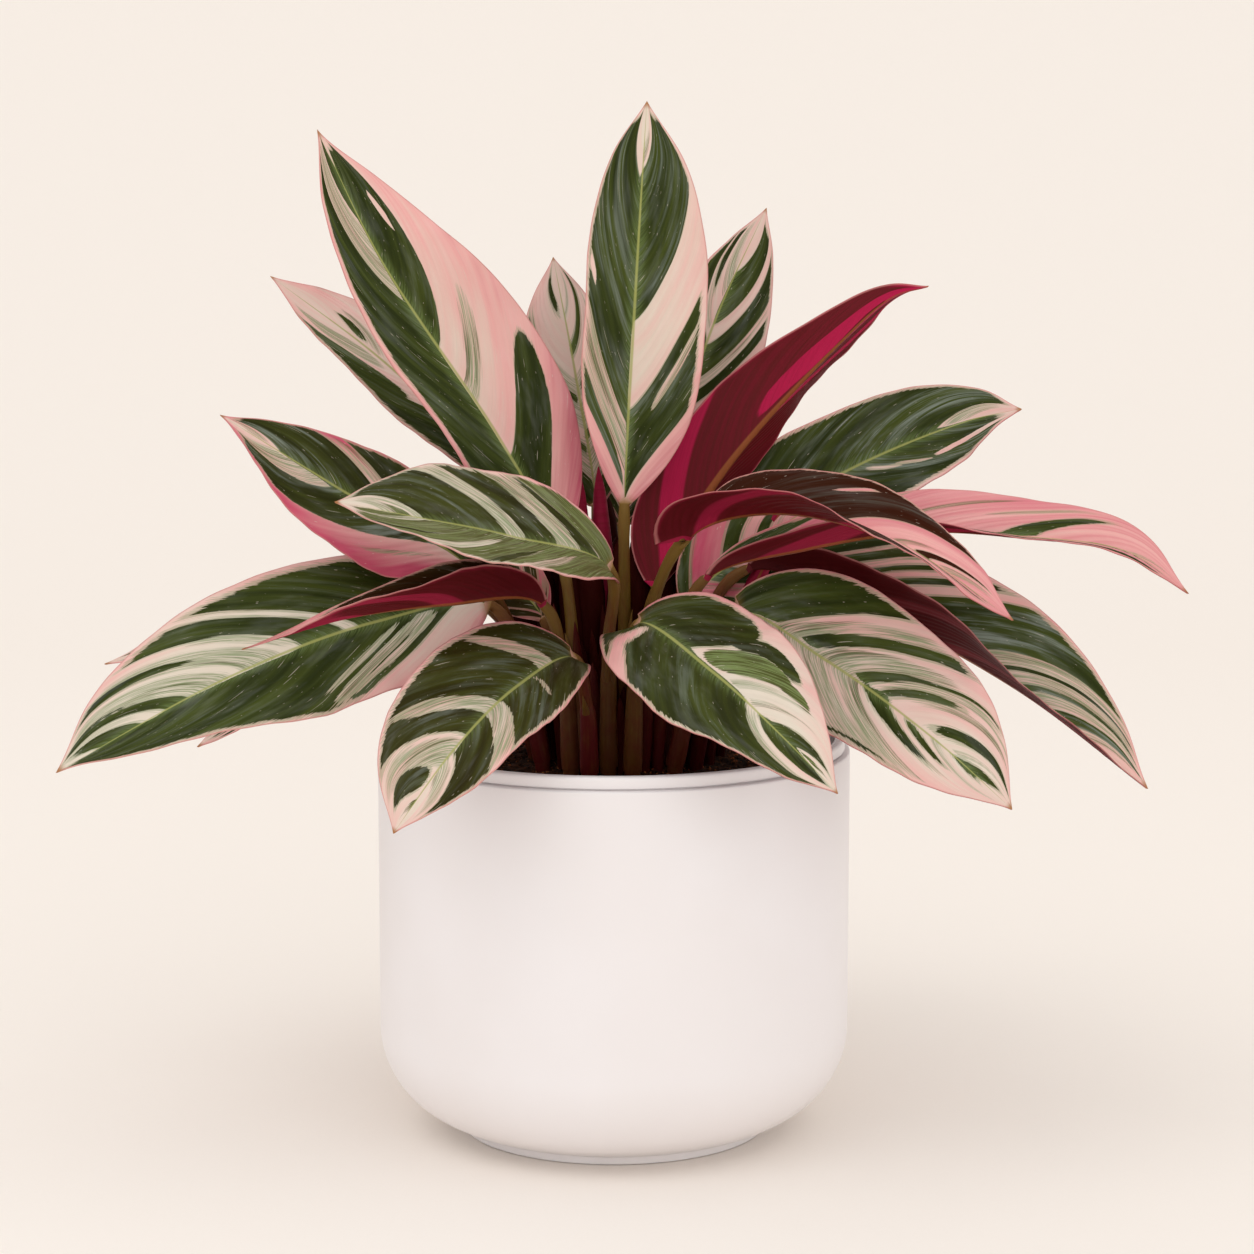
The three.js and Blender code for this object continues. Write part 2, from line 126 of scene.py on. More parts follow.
# ---- The clump of young growth ----
CLUMP_MIDDLE, CLUMP_REACH = np.array([3, 14]), np.array([38, 36])
CLUMP_BOX = ((-36, 42), (-22, 50))  # places are drawn from this box, and kept where they are in the clump
SHOOTS_LEAN_FROM = np.array([2, CLUMP_Y])
SHOOT_SPACING = 5.2
SHOOT_TRIES = 4000
SHOOT_DEPTH = 6  # how far a shoot starts below the stalks' first bend
FIRST_YOUNG = 90  # the number of the first young leaf, past those of the leaves and of the shoots
SHEATH_POINTS, TORN_POINTS, SHOOT_POINTS, SPEAR_POINTS = 18, 7, 20, 24  # along each kind of stem
SHEATH_TOPS = (0.42, 0.66)  # how far up its stalk a sheath may reach
SHEATH_GAPS = ([0, 0.1, 0.9, 1], [0.3, 0.55, 0.4, -0.1])  # how far it is off the stalk, from foot to top
# Shoots behind the clump's middle and in front of it: height, lean, and radii from foot to tip.
BACK_SHOOTS = ((70, 98), (0.3, 0.6), [2.5, 4.2, 5.2, 3.6, 0.12])
FRONT_SHOOTS = ((26, 60), (0.15, 0.4), [2.5, 3.1, 2.6, 1.2, 0.12])

# The rolled young leaves between the stalks: root, top and thickest radius.
SPEARS = [
    ([15, 21], [35, 19, 248], 4.6), ([22, 17], [44, 19, 236], 4.4), ([27, 14], [70, 12, 247], 4.8),
    ([-3, 21], [-6, 25, 252], 4.2), ([-11, 19], [-14, 22, 252], 4.4), ([33, 8], [62, 2, 226], 4.4),
]
# Their radius from foot to tip, as a share of the thickest.
SPEAR_SHAPE = ([0, 0.35, 0.7, 0.93, 1], [0.5, 0.7, 1, 0.5, 0.04])

# ---- Stage, in metres ----
SWEEP_SIDE, SWEEP_FRONT, SWEEP_TOP = 4.0, -3.2, 4.2
BEND_START, BEND_RADIUS = 1.2, 1.6  # where the paper starts to rise behind the pot, and how gently
SWEEP_DROP = 0.2 * MM  # keeps the paper clear of the pot's foot
LIT_POINT = Vector((0, 0, 0.2))
CAMERA_PLACE = (0.005, -1.28, 0.38)
CAMERA_PITCH = 8.3  # degrees below level
CAMERA_LENS, CAMERA_SENSOR = 97.7, 36  # in millimetres

# ---- Leaves ----
# What a leaf has where it gives nothing of its own.
USUAL_LEAF = dict(
    widest=0.45, full=3, bulge=2, taper=0.95, lobe=2, marks=(), ends=0.94, rims=0.06, feather=0.8, tone=0.5,
    young=0.3, dusk=0.0, bloom=0.2,
)


def leaf_of(**own):
    """A leaf's values. What is given once holds for both halves, and a face given once from heel to tip."""
    leaf = {**USUAL_LEAF, **own}
    for key in ("halves", "full", "bulge", "taper", "lobe", "ends", "rims"):
        leaf[key] = np.broadcast_to(np.array(leaf[key], float), 2)
    leaf["lift"] = np.broadcast_to(np.array(leaf["lift"], float), (2, 2))
    leaf["face"] = np.broadcast_to(np.array(leaf["face"], float), (2, 3))
    return leaf


# root, bend, spine, face, halves, lift, widest, full, bulge, taper and lobe place and shape a leaf as its
# solid is, where it has one.
# marks: the left and the right half's markings, in order: what, from and to along the midrib, and, where one
# stops short, from and to across the half, and how far it leans. g is deep green, h is half green, y is
# streaky grey green, and c is the pale ground. A leaf that gives none gets bands from a fixed seed.
# blush: how pink the ground is at the midrib and at the margin. 0 is cream, 1 is pink and 2 is rose.
# ends: where the green stops short of the tip. rims: how wide the pale margin is, as a share of the half.
# feather: how far streaks run past a mark's edge, in millimetres. tone: the stalk, from olive to red.
# young: how bright the underside's bands are. dusk: how far the green has darkened to brown.
# bloom: how strong the painted sheen is, silver strokes painted over the green where the wax would shine.
LEAVES = {
    "crown": leaf_of(
        root=[2, 9], bend=[[4, 7, 195]], spine=[[4, 0, 240], [8, 2, 317], [12.5, 12, 391]],
        face=[0, -1, 0.1], halves=[19, 27], lift=[[22, 8], [12, 4]], bulge=[3.3, 2.7],
        marks=["g .0 .075 .15 2, y .075 .2, g .2 .8, c .27 .31 .8 .93",
               "g .0 .235, y .15 .185 .35 .9, g .455 .83, y .84 .9 -1 .2"],
        blush=[0.15, 0.6], ends=0.97, rims=[0.06, 0.1], feather=0.5, tone=0.1, bloom=0.6
    ),
    "left_tall": leaf_of(
        root=[-10, -18], bend=[[-15, -6, 185]],
        spine=[[-21, 8, 222], [-43, 6, 264], [-86.5, -2, 331.5], [-110.5, 2, 380.5]],
        face=[[0.1, -1, 0.25], [0, -1, 0.2]], halves=[19, 34], lift=[[28, 20], [8, 8]], full=[5, 3],
        bulge=[2.4, 1.9], taper=[0.95, 1.15],
        marks=["g -.3 .62, y .60 .78, g .79 .93",
               "g .05 .22 -1 .88, y .345 .405 -.1 .62, g .49 .97 -1 .76 .03, c .66 1.3 .5 2, "
               "c .6 .69 .42 .5"],
        blush=[0.4, 1.0], ends=[0.98, 0.96], rims=[0.1, 0.13], feather=0.35, tone=0.15
    ),
    "left_back": leaf_of(
        root=[-17, 24], bend=[[-24, 32, 195]], spine=[[-37, 42, 237], [-87, 58, 287], [-136.5, 75, 323]],
        face=[[0.1, -1, 0.5], [0.1, -1, 0.4]], halves=[14, 21], lift=[[15, 10], [10, 10]], bulge=[1.8, 1.5],
        marks=["g -.3 .34, g .3 .5 .3 2, y .5 .66 .1 .7",
               "g -.3 .2, y .56 .62 .05 .5, g .62 .68 .08 .35"],
        blush=[0.35, 0.85], ends=0.9, rims=0.08, tone=0.3
    ),
    "left_middle": leaf_of(
        root=[-30, 6], bend=[[-38, 1, 190]],
        spine=[[-53, -9, 216], [-102, -29, 249.5], [-143.5, -41, 277.5]],
        face=[[0, -0.9, 0.6], [0, -0.9, 0.5]], halves=[24, 20.5], lift=[[15, 8], [12, 10]], widest=0.4,
        full=[2.2, 3], bulge=[1.7, 1.8], taper=[1.2, 1],
        marks=["g .14 .6 -1 2 .3, y -.02 .03 .3 .75 .25, y .56 .8 -1 .55",
               "g -.2 .27, y .27 .355 .4 .93, g .355 .77, y .79 .9 .02 .6"],
        blush=[0.3, 2.1], ends=[0.91, 0.95], rims=[0.12, 0.05], feather=0.6, dusk=0.15, bloom=1.0
    ),
    "left_front": leaf_of(
        root=[-2, -22], bend=[[-2, -26, 190]],
        spine=[[-1.5, -35, 220], [-37, -60, 235], [-71, -85, 245], [-97, -100, 252]], face=[0, -0.75, 0.65],
        halves=[23, 29], lift=[[30, 25], [8, 5]], full=3.8, taper=1.05, lobe=[9, 3],
        marks=["h -.3 .9, y .08 .14 .4 2, g .2 .24 .45 2, y .36 .42 .3 2, g .5 .54 .5 2, y .7 .76 -1 .6",
               "h -.2 .05, g .05 .13, y .13 .215 -1 2 -.07, g .215 .33 -1 2 -.07, y .33 .4 -1 2 -.06, "
               "g .4 .71 -1 2 -.05, y .71 .85 -1 2, h .74 .8 -1 .25"],
        blush=[0.1, 0.35], rims=0.05, feather=1.3, tone=0.35, dusk=0.22, bloom=0.5
    ),
    "left_low": leaf_of(
        root=[-27, -10], bend=[[-34, -12, 178]],
        spine=[[-46, -14, 203.5], [-88, -33, 200], [-138, -58, 184], [-199, -85, 153]],
        face=[[-0.1, -0.85, 0.5], [-0.15, -0.85, 0.5]], halves=[30, 33], lift=[8, 8], full=[5, 2.4],
        bulge=[1.3, 2.6], taper=[1.15, 0.95],
        marks=["g .08 .95, y .105 .18 .05 .92, g .135 .148 .3 .7, y .2 .225 .1 .75, c .42 1.2 .87 2, "
               "c .62 1.2 .74 2, c .74 1.2 .45 2",
               "g -.2 .3, y .3 .335 .2 .9 .05, g .335 .43, y .42 .46 .05 .6, c .46 .48 .15 .9, y .48 .57, "
               "g .51 .56 .4 2, c .57 .59 .1 2, y .59 .69, g .66 .69 .4 2, g .69 .745, y .745 .8 .15 2, "
               "g .8 .9, y .82 .84 .3 .8"],
        blush=[-0.3, 0.6], ends=[0.975, 0.965], rims=[0.06, 0.1], feather=1.1, tone=1.0
    ),
    "left_behind": leaf_of(
        root=[-28, 24], bend=[[-36, 27, 178]],
        spine=[[-52, 32, 198], [-108, 42, 193], [-163, 44, 183], [-200, 38, 173]],
        face=[[-0.1, -0.5, 0.9], [-0.2, -0.5, 0.9]], halves=22, lift=[[15, 10], [0, 0]], bulge=[2, 1.6],
        blush=[0.3, 0.8], tone=0.7
    ),
    "left_hidden": leaf_of(
        root=[-19, 14], bend=[[-26, 17, 166]],
        spine=[[-40, 18, 184], [-82, 16, 180], [-128, 12, 166], [-160, 5, 146]],
        face=[[-0.1, -0.3, 0.9], [-0.3, -0.4, 0.8]], halves=20, lift=[[10, 10], [5, 5]], blush=[0.3, 0.8],
        tone=0.8
    ),
    "left_folded": leaf_of(
        root=[-16, -26], bend=[[-19, -28, 185]],
        spine=[[-26, -31, 206], [-60, -60, 210], [-95, -80, 208], [-131, -94, 199]],
        face=[[0, -0.1, 1], [0, -0.2, 1]], halves=16, lift=[74, 60], widest=0.35, bulge=1.1, taper=1.5,
        marks=["g -.3 .3, y .34 .4, g .4 .62",
               "g -.3 .5, y .5 .56, g .56 .64"],
        blush=[0.9, 1.4], ends=[0.72, 0.74], feather=0.9, tone=0.2, young=0.45, dusk=0.75
    ),
    "front_left": leaf_of(
        root=[-9, -33], bend=[[-10, -40, 170]],
        spine=[[-14.5, -50, 189], [-34.5, -78, 183], [-56, -108, 165], [-76, -124, 139]],
        face=[[-0.1, -0.8, 0.6], [-0.3, -0.9, 0.3]], halves=[20, 31], lift=[15, 5], full=4, bulge=[2, 2.7],
        lobe=[9, 4],
        marks=["g -.5 .41, y .235 .25 .05 .6 -.2, y .41 .5 -1 2 -.16, g .5 .68 -1 2 -.14, "
               "y .68 .8 -1 .68 -.15, c .68 .705 -1 2 -.14",
               "g -.5 .42, y .12 .185 -1 .93 -.15, y .42 .49 -1 .93 -.11, g .49 .6 -1 2 -.11, "
               "y .6 .75 -1 .85 -.13, c .6 .625 -1 2 -.12, g .755 .85 .06 .58 -.2, h .86 1.05 -1 .28"],
        blush=[0.25, 0.75], ends=[0.93, 0.96], rims=0.07, tone=0.75, dusk=0.3, bloom=0.4
    ),
    "front_right": leaf_of(
        root=[7, -31], bend=[[8, -37, 178]],
        spine=[[9, -46, 201], [36, -85, 189], [58, -112, 172], [78, -124, 153]],
        face=[[0.1, -0.8, 0.6], [0.3, -0.9, 0.4]], halves=[29, 27], lift=[[10, 5], [5, 5]], full=4.6,
        bulge=[1.7, 1.4], lobe=[10, 22],
        marks=["g -.4 .265 -1 .93, g .2 .37 .45 .84, c .02 .6 .92 2, c .2 .6 .86 2, h .285 .45 .06 .68, "
               "h .4 .5 .5 .76, y .47 .52 -1 .7, y .58 .61 -1 .55, g .69 .8 -1 .48, h .8 .98 -1 .22",
               "g -.6 .59, c .07 .12 .1 .9 -.225, c -.1 .01 .6 2, y .595 .65 .03 .78 -.05, g .65 .97 -1 .5"],
        blush=[0.1, 0.5], ends=[0.95, 0.955], rims=[0.1, 0.05], feather=0.9, tone=0.4, dusk=0.1, bloom=0.35
    ),
    "right_front": leaf_of(
        root=[23, -19], bend=[[32, -23, 182]],
        spine=[[45, -28, 203], [78, -50, 188], [115, -78, 164], [142, -92, 141]],
        face=[[0.1, -0.8, 0.6], [0.3, -0.8, 0.5]], halves=[33, 26], lift=[[25, 5], [8, 5]], full=[4.4, 3],
        bulge=[2.6, 2], lobe=4,
        marks=["g -.4 .135, y .14 .205 -1 2 .06, g .21 .27 -1 2 .06, y .28 .41 -1 .72 .08, "
               "g .4 .45 -1 2 .05, y .45 .5 .1 2, g .49 .53 .05 .55, y .53 .57 .2 .9, "
               "g .66 .72 .1 .75 -.03, y .76 .79, g .8 .9 -1 .25",
               "g -.4 .04, y .05 .44, c .2 .225 .2 .8, c .33 .345 .1 .6, g .1 .42 .86 2, "
               "g .455 .55 -1 .52 .12, g .6 .65 .03 .38 .1, y .7 .74, g .77 .88 -1 .12"],
        blush=[0.25, 0.7], ends=[0.965, 0.95], rims=[0.06, 0.07], feather=1.1, tone=0.55
    ),
    "right_droop": leaf_of(
        root=[24, 0], bend=[[32, 2, 189]],
        spine=[[50, 1, 215], [97, -12, 201], [150, -32, 174.5], [197, -48, 140]],
        face=[[0.3, -0.3, 1], [0.5, -0.4, 0.8]], halves=[33.5, 24], lift=[[55, 45], [82, 30]],
        bulge=[2.2, 1.4],
        marks=["g -.3 .03, c .03 .05, g .05 .09, y .09 .11, c .11 .13, g .13 .155, c .155 .19, g .19 .22, "
               "c .22 .26, g .27 .5, y .5 .56, g .565 .585, y .585 .64, g .64 .665, y .665 .72, g .73 .79, "
               "y .8 .84",
               "g -.3 .2, y .2 .25, g .26 .45, y .46 .5, g .5 .7"],
        blush=[0.5, 0.85], ends=[0.96, 0.9], rims=0.07, feather=1.0, tone=0.8, young=0.0, bloom=1.0
    ),
    "right_long": leaf_of(
        root=[20, -9], bend=[[25, -10, 188]],
        spine=[[34, -12, 213], [72, -20, 225.5], [115, -27, 233], [152, -29, 231], [190, -28, 225.5],
              [214, -26, 209.5]], face=[[0, 0, 1], [0.4, -0.5, 0.8]], halves=[17, 13],
        lift=[[60, 35], [68, 15]], bulge=[3, 1.3],
        marks=["g -.3 .02, c .02 .1, g .1 .13, y .3 .33 .3 .9, y .42 .46 .45 .95, g .6 .665 -1 .72 -.14, "
               "y .84 .88 -1 .8",
               "g -.3 .1, g .28 .4, g .5 .62, g .76 .8, y .84 .87"],
        blush=[1.15, 1.4], ends=[0.95, 0.93], rims=0.1, feather=0.7, tone=0.7, young=0.55
    ),
    "right_upper": leaf_of(
        root=[17, 22], bend=[[24, 25, 188]],
        spine=[[38, 30, 218], [93, 40, 250], [136, 38, 268], [157, 28, 274]],
        face=[[0, -0.9, 0.5], [0, -0.8, 0.6]], halves=[24, 23], lift=[15, 10], bulge=[2.8, 2.4],
        marks=["g -.4 .73, y .74 .84 .0 .75 -.05, c .58 1.2 .7 2",
               "g -.4 .95, c .475 .5 .12 .4, y .5 .53 .3 .55, c .53 1.2 .46 .62, g .5 .6 .66 .82, "
               "c .6 1.2 .64 2"],
        blush=[0.5, 0.8], rims=[0.06, 0.1], feather=0.7, bloom=1.0
    ),
    "right_magenta": leaf_of(
        root=[8, 2], bend=[[11, 3, 180]],
        spine=[[16, 5, 207], [41, 14, 250], [86, 25, 299], [107, 30, 317], [121, 32, 321]],
        face=[[-0.1, 1, 0.1], [-0.2, 1, 0.2]], halves=[21, 23], lift=[[56, 62], [15, 10]], full=[3, 6],
        bulge=[1.6, 1.4],
        marks=["g -.3 .5, g .58 .74",
               "g -.3 .03, g .15 .88, c .44 .92 .06 .4"],
        blush=[0.9, 1.0], ends=0.95, rims=0.02, feather=0.5, tone=0.3, young=1.0
    ),
    "right_arched": leaf_of(
        root=[7, -14], bend=[[12, -20, 195]],
        spine=[[27, -31, 231], [58, -46, 242], [100, -61, 234], [143, -78, 207]],
        face=[[-0.3, -0.3, 1], [0.4, -0.2, 0.9]], halves=[21, 24], lift=[[35, 38], [60, 10]], full=[4, 8],
        lobe=[0, 14],
        marks=["g -.4 .46, c .23 .26 .6 .85, y .6 .64 -1 .35, g .67 .71 -1 .65, y .74 .8",
               "g -.4 .02, g .1 .45, y .6 .66, g .68 .72, y .76 .8 .1 .7, g .82 .85"],
        blush=[1.25, 1.5], ends=[0.9, 0.92], rims=[0.03, 0.06], feather=0.6, tone=0.1, young=0.6, dusk=0.95
    ),
    "back_left_small": leaf_of(
        root=[-6, 27], bend=[[-7, 32, 195]], spine=[[-7, 40, 235], [-15, 50, 285], [-24, 62, 331]],
        face=[0, -1, 0.2], halves=[23, 18], lift=[15, 8],
        marks=["g -.2 .1, y .1 .2, g .2 .24, y .3 .4, g .4 .44, y .44 .5, g .72 .79 .15 .55",
               "g -.2 .05, y .05 .26, g .26 .3, y .3 .42, g .44 .48 .05 .7, y .48 .52, y .58 .66, g .6 .64, "
               "y .74 .78"],
        blush=[0.25, 0.7], rims=0.12, feather=1.2, tone=0.4
    ),
    "back_right_tall": leaf_of(
        root=[9, 33], bend=[[11, 38, 200]], spine=[[18, 48, 240], [39, 58, 305], [60, 70, 350]],
        face=[0.1, -1, 0.2], halves=[20, 23], lift=[12, 8], bulge=[1.5, 2],
        marks=["g -.2 .3, y .32 .4, g .41 .52, y .54 .57, g .55 .63 .35 2, y .66 .78",
               "g -.2 .2, c .2 .28, g .28 .33, y .34 .37, g .38 .5, g .57 .76"],
        blush=[0.4, 0.75], ends=[0.93, 0.94], rims=0.08, feather=0.5, tone=0.3
    ),
    "back_left_low": leaf_of(
        root=[-24, 38], bend=[[-33, 48, 172]],
        spine=[[-46, 64, 190], [-72, 98, 190], [-98, 130, 176], [-112, 152, 152]],
        face=[[-0.3, 0.3, 0.9], [-0.4, 0.5, 0.7]], halves=25, lift=[15, 8], blush=[0.2, 0.7]
    ),
    "back_left_arched": leaf_of(
        root=[-12, 41], bend=[[-18, 52, 185]],
        spine=[[-26, 68, 212], [-42, 100, 228], [-58, 132, 226], [-70, 160, 206]],
        face=[[0.1, -0.2, 1], [-0.3, 0.5, 0.8]], halves=24, lift=[18, 8], blush=[0.5, 0.9], feather=0.6,
        tone=0.6
    ),
    "back_upright": leaf_of(
        root=[2, 43], bend=[[2, 54, 195]], spine=[[3, 66, 224], [6, 96, 262], [8, 128, 280], [8, 158, 280]],
        face=[[0, -1, 1], [0, 0, 1]], halves=24, lift=[18, 8], blush=[0.3, 0.8], feather=0.5, tone=0.3
    ),
    "back_middle_low": leaf_of(
        root=[10, 50], bend=[[12, 62, 168]],
        spine=[[14, 78, 184], [18, 112, 188], [20, 146, 174], [20, 168, 150]],
        face=[[0, 0.1, 1], [0, 0.6, 0.7]], halves=25, lift=[15, 8], blush=[0.2, 0.6], feather=1.0, tone=0.6
    ),
    "back_right_arched": leaf_of(
        root=[19, 42], bend=[[26, 54, 185]],
        spine=[[36, 70, 212], [56, 100, 228], [76, 128, 224], [90, 150, 204]],
        face=[[-0.1, -0.2, 1], [0.3, 0.5, 0.8]], halves=23, lift=[18, 8], blush=[0.4, 0.8], feather=0.7,
        tone=0.4
    ),
    "back_right_low": leaf_of(
        root=[30, 32], bend=[[40, 42, 172]],
        spine=[[54, 56, 190], [84, 84, 190], [112, 108, 174], [128, 124, 150]],
        face=[[0.3, 0.3, 0.9], [0.5, 0.5, 0.7]], halves=25, lift=[15, 8], blush=[0.3, 0.7], feather=0.9,
        tone=0.7
    ),
}
# Young leaves that have unrolled but still stand low in the clump.
YOUNG_LEAVES = {
    "unrolled_right": leaf_of(
        root=[27, 9], bend=[[26, 7, 180]], spine=[[28, 5, 201], [50, 8, 221], [78, 10, 240]],
        face=[0, -1, 0.35], halves=[19, 17], lift=[12, 8],
        marks=["g -.3 .02, y .03 .06, c .06 .3, g .3 .42, y .42 .46, c .46 .56, g .56 .64, y .68 .74",
               "g -.3 .05, y .12 .16, g .2 .34, y .4 .46, g .5 .62"],
        blush=[1.3, 1.6], feather=0.9, tone=0.8, young=0.9
    ),
    "unrolled_left": leaf_of(
        root=[-17, 2], bend=[[-22, 4, 178]], spine=[[-27, 5, 196], [-44, 3, 216], [-62, 2, 232]],
        face=[0, -1, 0.35], halves=12, lift=[20, 12], blush=[1.2, 1.6], feather=0.9, tone=0.9, young=0.9,
        dusk=0.5
    ),
}


# ---- Colours and settings ----
def linear(code):
    """An sRGB hex colour as linear red, green, blue and alpha."""
    parts = [int(code[i : i + 2], 16) / 255 for i in (1, 3, 5)]
    return tuple(c / 12.92 if c <= 0.04045 else ((c + 0.055) / 1.055) ** 2.4 for c in parts) + (1.0,)


def colour(name, description, code):
    return FloatVectorProperty(
        name=name, description=description, subtype="COLOR", size=4, min=0, max=1, default=linear(code)
    )


def length(name, description, millimetres):
    default = millimetres * MM
    return FloatProperty(name=name, description=description, unit="LENGTH", min=0, default=default)


def factor(name, description, default):
    return FloatProperty(
        name=name, description=description, subtype="FACTOR", min=0, max=1, default=default
    )


def amount(name, description, default):
    return FloatProperty(name=name, description=description, min=0, default=default)


def whole(name, description, default, least=0, most=360):
    return IntProperty(name=name, description=description, min=least, max=most, default=default)


def power(name, description, watts):
    return FloatProperty(name=name, description=description, unit="POWER", min=0, default=watts)


class TriostarLeafSettings(PropertyGroup):
    thickness: length("Blade thickness", "How thick a blade is beside its midrib", 0.5)
    midrib_depth: length("Midrib depth", "How far the midrib stands out under the blade at the heel", 1.5)
    pleat_height: length("Pleat height", "How high the blade rises between its side veins", 0.13)
    pleat_spacing: length("Pleat spacing", "From one pleat to the next, along the midrib", 5.5)
    deep_green: colour("Deep green", "The darkest bands", "#282f0e")
    leaf_green: colour("Leaf green", "The lighter strokes in the green bands", "#48511f")
    light_green: colour("Light green", "The feathering beside the midrib", "#76884f")
    grey_green: colour("Grey green", "The brushed strokes between green and cream", "#8f9873")
    cream: colour("Cream", "The pale ground", "#dfd1bf")
    pink: colour("Pink", "The blushed ground", "#e9aca6")
    # Rose by the heel: partly the leaf's own colour, partly painted glow of light through the blade and
    # shade.
    rose: colour("Rose", "The ground where it blushes deepest, beside the heel", "#c8536b")
    rim_pink: colour("Margin pink", "The thin line round a blade", "#cf8a84")
    midrib: colour("Midrib", "The midrib on the upper face", "#a5a55f")
    tip_tan: colour("Tip tan", "The dried tip", "#a8744a")
    dusk: colour("Dusk", "What the green of a darkened upper face turns to", "#38160c")
    half_dusk: colour("Half dusk", "What the half green of a darkened upper face turns to", "#6b4f3f")
    # Painted sheen: the silver colour laid over the green where the wax would catch the light, a painted
    # highlight.
    bloom: colour("Bloom", "The silver bloom of the wax", "#8b9388")
    maroon: colour("Maroon", "The underside beneath green", "#490e10")
    young_maroon: colour("Young maroon", "The underside beneath green, on a young leaf", "#5f161a")
    magenta: colour("Magenta", "The underside beneath cream and pink, on a young leaf", "#b01845")
    dull_pink: colour("Dull pink", "The underside beneath cream and pink, on an old leaf", "#6a262b")
    rib_tan: colour("Rib tan", "The midrib on the underside", "#97582f")
    stalk_olive: colour("Stalk olive", "The greener stalks", "#5f4614")
    stalk_red: colour("Stalk red", "The redder stalks", "#5a1414")
    stalk_pale: colour("Stalk pale", "The stalk just below the blade", "#80622c")
    # Painted shade: the near black given to the shoots deep in the clump, where shade falls between the
    # stalks.
    painted_clump_shade: colour("Old sheath", "The dark sheaths deep in the clump", "#2a0906")


class TriostarPotSettings(PropertyGroup):
    glaze: colour("Glaze", "The satin white glaze", "#f1ecec")
    glaze_shade: colour("Glaze shade", "What the glaze drifts to in faint broad patches", "#c9b49f")
    roughness: factor("Roughness", "How matt the glaze is", 0.42)
    sides: whole("Sides", "Facets round the pot", 180, 32)


class TriostarMixSettings(PropertyGroup):
    dark: colour("Dark mix", "Moist peat", "#170d08")
    crumb: colour("Crumbs", "Bark and coir crumbs", "#b56f42")
    crumb_size: length("Crumb size", "The largest crumbs", 2.8)
    density: amount("Crumb density", "Crumbs on each square centimetre", 24)
    seed: whole("Seed", "Lays the crumbs out afresh", 7)


class TriostarClumpSettings(PropertyGroup):
    shoots: whole("Shoots", "Young shoots between the stalks", 64, 0, FIRST_YOUNG - len(LEAVES))
    sides: whole("Sides", "Facets round each sheath and shoot", 14, 6, 32)
    wrap: factor("Wrap", "How far a sheath stands out where it wraps over itself, in radii", 0.12)
    seed: whole("Seed", "Sets the shoots out afresh", 3)


class TriostarStageSettings(PropertyGroup):
    floor: colour("Floor", "The plain floor and backdrop", "#f8f0e8")
    floor_shade: colour("Floor shade", "The paper's faint tooth", "#d9cbb9")
    sky_colour: colour("Sky colour", "The even light from all round", "#ffffff")
    sky: amount("Sky", "Strength of the even light from all round", 0.95)
    top_power: power("Top light", "Power of the large soft light overhead", 6)
    front_power: power("Front light", "Power of the soft light beside the camera", 7)


# ---- Nodes ----
MATH = "ShaderNodeMath"
RANGE = "ShaderNodeMapRange"
BLEND = "ShaderNodeMix"
# The settings that a kind of node has here unless it is given others.
USUAL = {RANGE: {"interpolation_type": "SMOOTHSTEP"}, BLEND: {"data_type": "RGBA"}}


def add_node(tree, kind, *inputs, named=(), out=None, **settings):
    """Adds a node with its settings, feeds its inputs in the order shown or by name, and gives an output."""
    node = tree.nodes.new(kind)
    for key, value in {**USUAL.get(kind, {}), **settings}.items():
        setattr(node, key, value)
    shown = [socket for socket in node.inputs if socket.enabled]
    pairs = list(zip(shown, inputs)) + [(node.inputs[key], value) for key, value in dict(named).items()]
    for socket, value in pairs:
        if isinstance(value, bpy.types.NodeSocket):
            tree.links.new(value, socket)
        elif value is not None:
            socket.default_value = value
    if out is not None:
        return node.outputs[out]
    return next((socket for socket in node.outputs if socket.enabled), node)


def new_material(name):
    material = bpy.data.materials.new(name)
    material.use_nodes = True
    material.node_tree.nodes.clear()
    return material, partial(add_node, material.node_tree)


def finish_material(node, **sockets):
    """Joins the finish to the shader; an underscore in a name stands for a space."""
    named = {key.replace("_", " "): value for key, value in sockets.items()}
    node("ShaderNodeOutputMaterial", node("ShaderNodeBsdfPrincipled", named=named))


def read(node, names):
    """The mesh's own values of these names."""
    return [node("ShaderNodeAttribute", out="Fac", attribute_name=name) for name in names.split()]


def layered(node, ground, *layers):
    """Lays colours over a ground, one after another, each as strongly as its mask says."""
    for mask, over in layers:
        ground = node(BLEND, mask, ground, over)
    return ground


def streaks(node, width, length, detail=2.0, roughness=0.55):
    """Streaks along the side veins, of about this width and length in millimetres."""
    place = node("ShaderNodeUVMap", uv_map="LeafMap")
    scale = (MAP_UNIT / width, MAP_UNIT / length, 1.0)
    drawn = node("ShaderNodeVectorMath", place, scale, operation="MULTIPLY")
    return node("ShaderNodeTexNoise", drawn, 1.0, detail, roughness)


def distance_out(node):
    """How far a point is from the midrib, in millimetres."""
    parts = node("ShaderNodeSeparateXYZ", node("ShaderNodeUVMap", uv_map="LeafMap"), out=1)
    aside = node(MATH, parts, MAP_UNIT, operation="MULTIPLY")
    return node(MATH, aside, operation="ABSOLUTE")


def marking(node, field, wobble, reach, crisp):
    """1 inside a mark and 0 outside it, with its edge pushed to and fro by the streaks."""
    centred = node(MATH, wobble, 0.5, operation="SUBTRACT")
    pushed = node(MATH, centred, reach, field, operation="MULTIPLY_ADD")
    return node(RANGE, pushed, -crisp, crisp)


def midrib_mask(node, out, run, heel_width, narrowing):
    """1 on the midrib, which narrows towards the tip."""
    width = node(MATH, run, -narrowing, heel_width, operation="MULTIPLY_ADD")
    past = node(MATH, out, width, operation="SUBTRACT")
    return node(RANGE, past, -0.3, 0.35, 1.0, 0.0)


